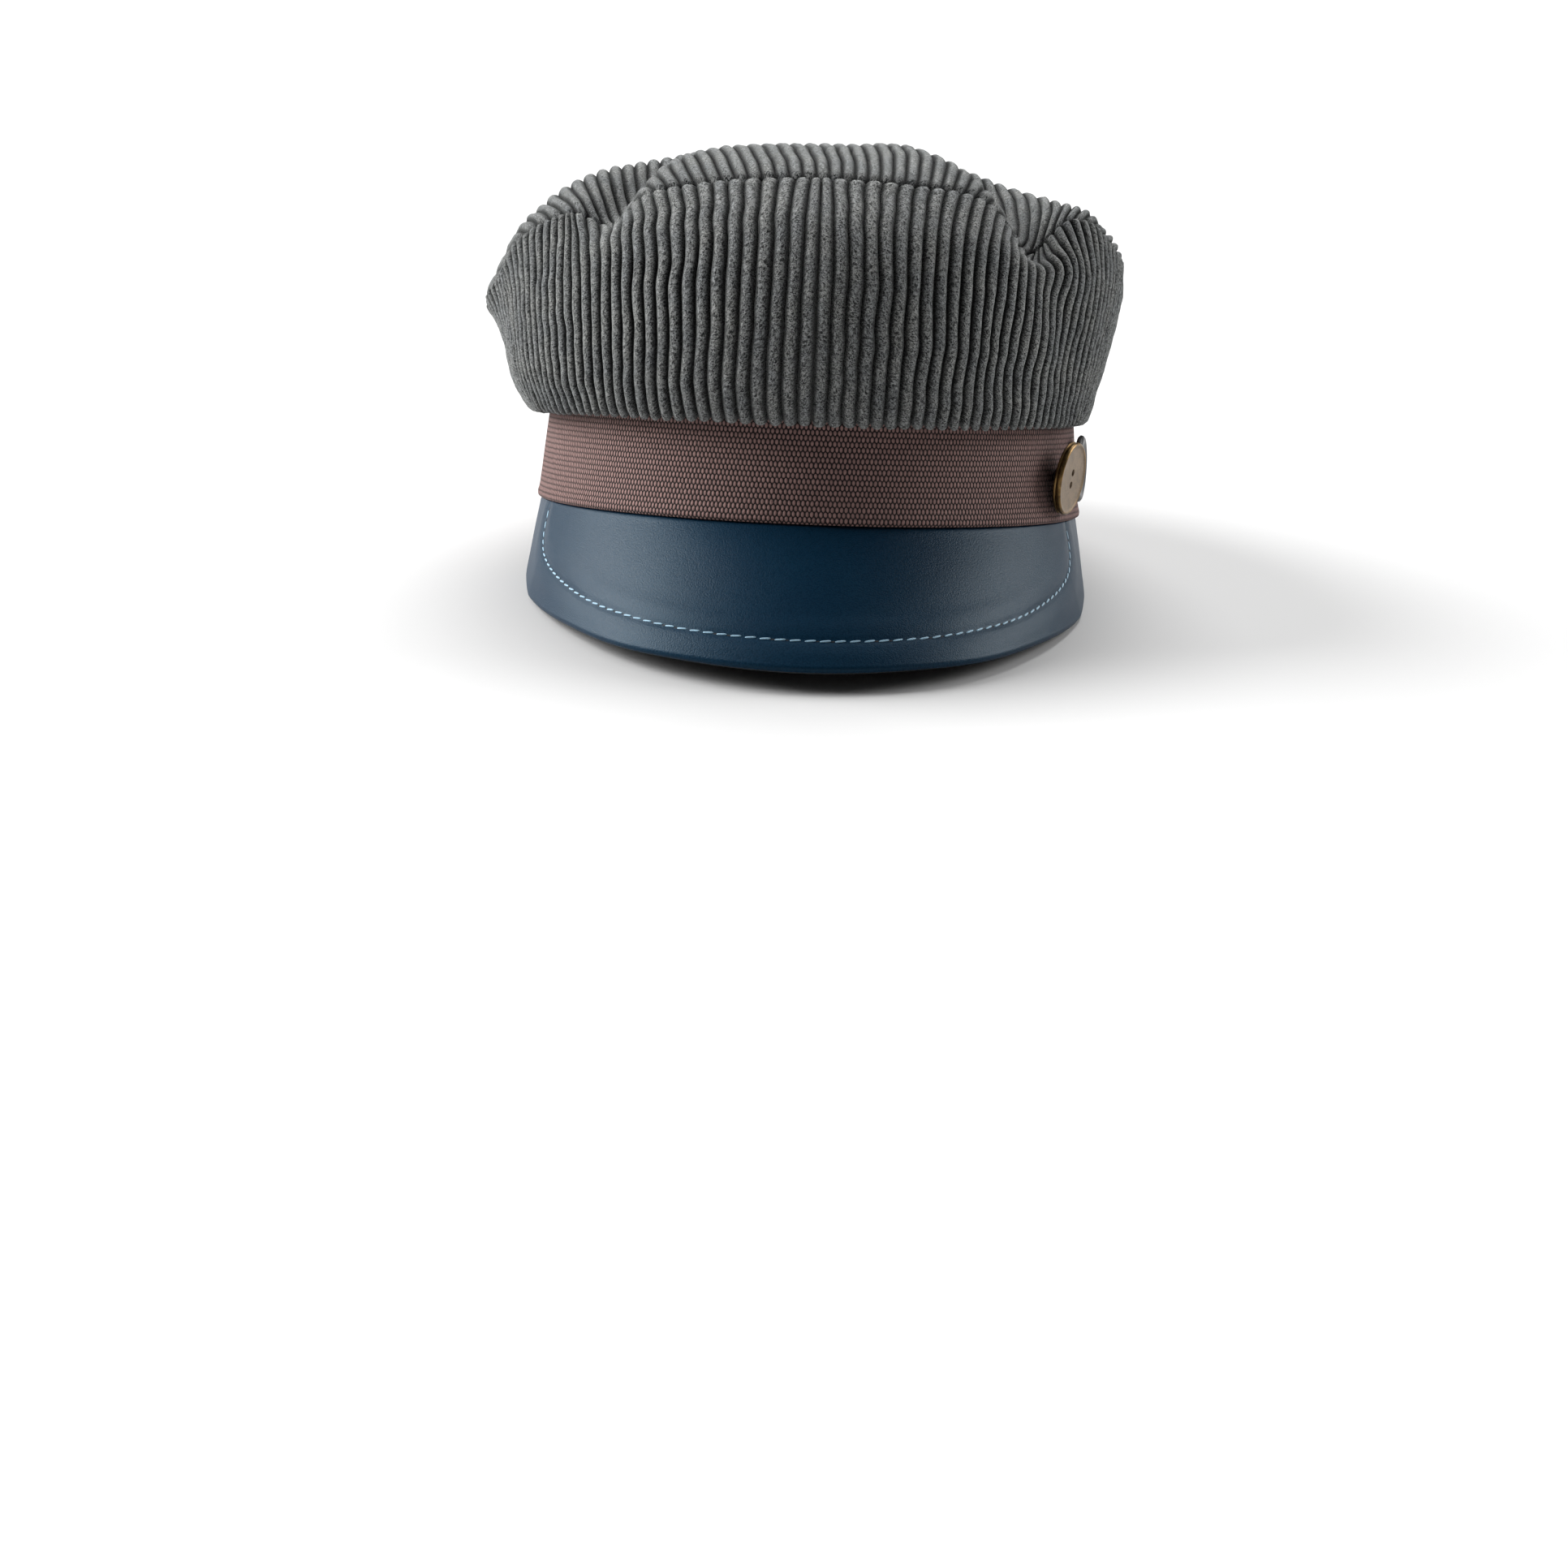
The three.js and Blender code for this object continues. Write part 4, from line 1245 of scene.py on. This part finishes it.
class CAP_OT_stage(bpy.types.Operator):
    """Make the floor, the lights and the camera"""
    bl_idname = "cap.stage"
    bl_label = "Stage"
    bl_options = {"REGISTER", "UNDO"}

    def execute(self, context):
        settings = context.scene.cap_stage
        self.floor(settings)
        for name, angle, height, width, strength in LIGHTS:
            lamp = bpy.data.lights.new(name, "SUN")
            lamp.angle = math.radians(width)
            lamp.energy = strength
            angle, height = math.radians(angle), math.radians(height)
            level = math.cos(height)
            way = Vector((math.sin(angle) * level, -math.cos(angle) * level, math.sin(height)))
            turn = way.to_track_quat("Z", "Y").to_matrix().to_4x4()
            in_scene(name, lamp).matrix_world = Matrix.Translation(way) @ turn
        context.scene.view_settings.view_transform = "Standard"
        world = bpy.data.worlds.new("Studio")
        world.use_nodes = True
        tree = world.node_tree
        # The sky shows white, as the floor does, and lights the cap with the fill's strength
        shown = node(tree, "ShaderNodeLightPath", {}).outputs["Is Camera Ray"]
        set_sockets(tree, tree.nodes["Background"], {
            "Color": (1, 1, 1),
            "Strength": sums(tree, "MULTIPLY_ADD", shown, 1 - settings.sky, settings.sky)})
        context.scene.world = world
        self.camera(context, settings)
        return {"FINISHED"}

    def floor(self, settings):
        """A level floor at the height that the cap rests on."""
        bm = bmesh.new()
        bmesh.ops.create_grid(bm, x_segments=1, y_segments=1, size=FLOOR_HALF)
        floor = shaped("floor", bm)
        bm.free()
        floor.data.materials.append(pale_floor(settings))

    def camera(self, context, settings):
        """The photograph's camera, with its lens, distance, height and roll."""
        elevation = settings.camera_elevation
        place = Vector((0, -math.cos(elevation), math.sin(elevation))) * settings.camera_distance
        look = (-place).to_track_quat("-Z", "Y").to_matrix()
        focal = settings.lens / SENSOR * PICTURE_SIDE
        half = PICTURE_SIDE / 2
        x, y = ORIGIN_IN_PICTURE
        seen = Vector((x - half, half - y, -focal)).normalized()
        aside = seen.rotation_difference(Vector((0, 0, -1))).to_matrix()
        roll = Matrix.Rotation(settings.camera_roll, 3, "Z")
        data = bpy.data.cameras.new("camera")
        data.sensor_width = SENSOR
        data.sensor_fit = "HORIZONTAL"
        data.lens = settings.lens
        data.clip_start = 0.01
        camera = in_scene("camera", data)
        turn = (look @ roll @ aside).to_4x4()
        camera.matrix_world = CAP_TO_ROW @ Matrix.Translation(place) @ turn
        context.scene.camera = camera


class CAP_PT_sidebar(bpy.types.Panel):
    """The cap's pieces and their settings"""
    bl_label = "Peaked Cap"
    bl_idname = "CAP_PT_sidebar"
    bl_space_type = "VIEW_3D"
    bl_region_type = "UI"
    bl_category = "Cap"

    def draw(self, context):
        layout = self.layout
        for group, steps in PANEL_ROWS.items():
            box = layout.box()
            settings = getattr(context.scene, group)
            for name in settings.__annotations__:
                box.prop(settings, name)
            for step in steps:
                box.operator(step)


PANEL_ROWS = {
    "cap_crown": ("cap.crown_sides", "cap.crown_top"),
    "cap_band": ("cap.band",),
    "cap_peak": ("cap.peak", "cap.peak_seam"),
    "cap_buttons": ("cap.buttons",),
    "cap_stage": ("cap.stage",),
}
SETTINGS = {
    "cap_crown": CapCrownSettings,
    "cap_band": CapBandSettings,
    "cap_peak": CapPeakSettings,
    "cap_buttons": CapButtonSettings,
    "cap_stage": CapStageSettings,
}
OPERATORS = (
    CAP_OT_crown_sides, CAP_OT_crown_top, CAP_OT_band, CAP_OT_peak, CAP_OT_peak_seam,
    CAP_OT_buttons, CAP_OT_stage,
)


def register():
    for kind in (*SETTINGS.values(), *OPERATORS, CAP_PT_sidebar):
        bpy.utils.register_class(kind)
    for name, kind in SETTINGS.items():
        setattr(bpy.types.Scene, name, PointerProperty(type=kind))


def unregister():
    for name in SETTINGS:
        delattr(bpy.types.Scene, name)
    for kind in (CAP_PT_sidebar, *reversed(OPERATORS), *reversed(SETTINGS.values())):
        bpy.utils.unregister_class(kind)


def main():
    register()
    for steps in PANEL_ROWS.values():
        for step in steps:
            group, name = step.split(".")
            getattr(getattr(bpy.ops, group), name)()


if __name__ == "__main__":
    main()
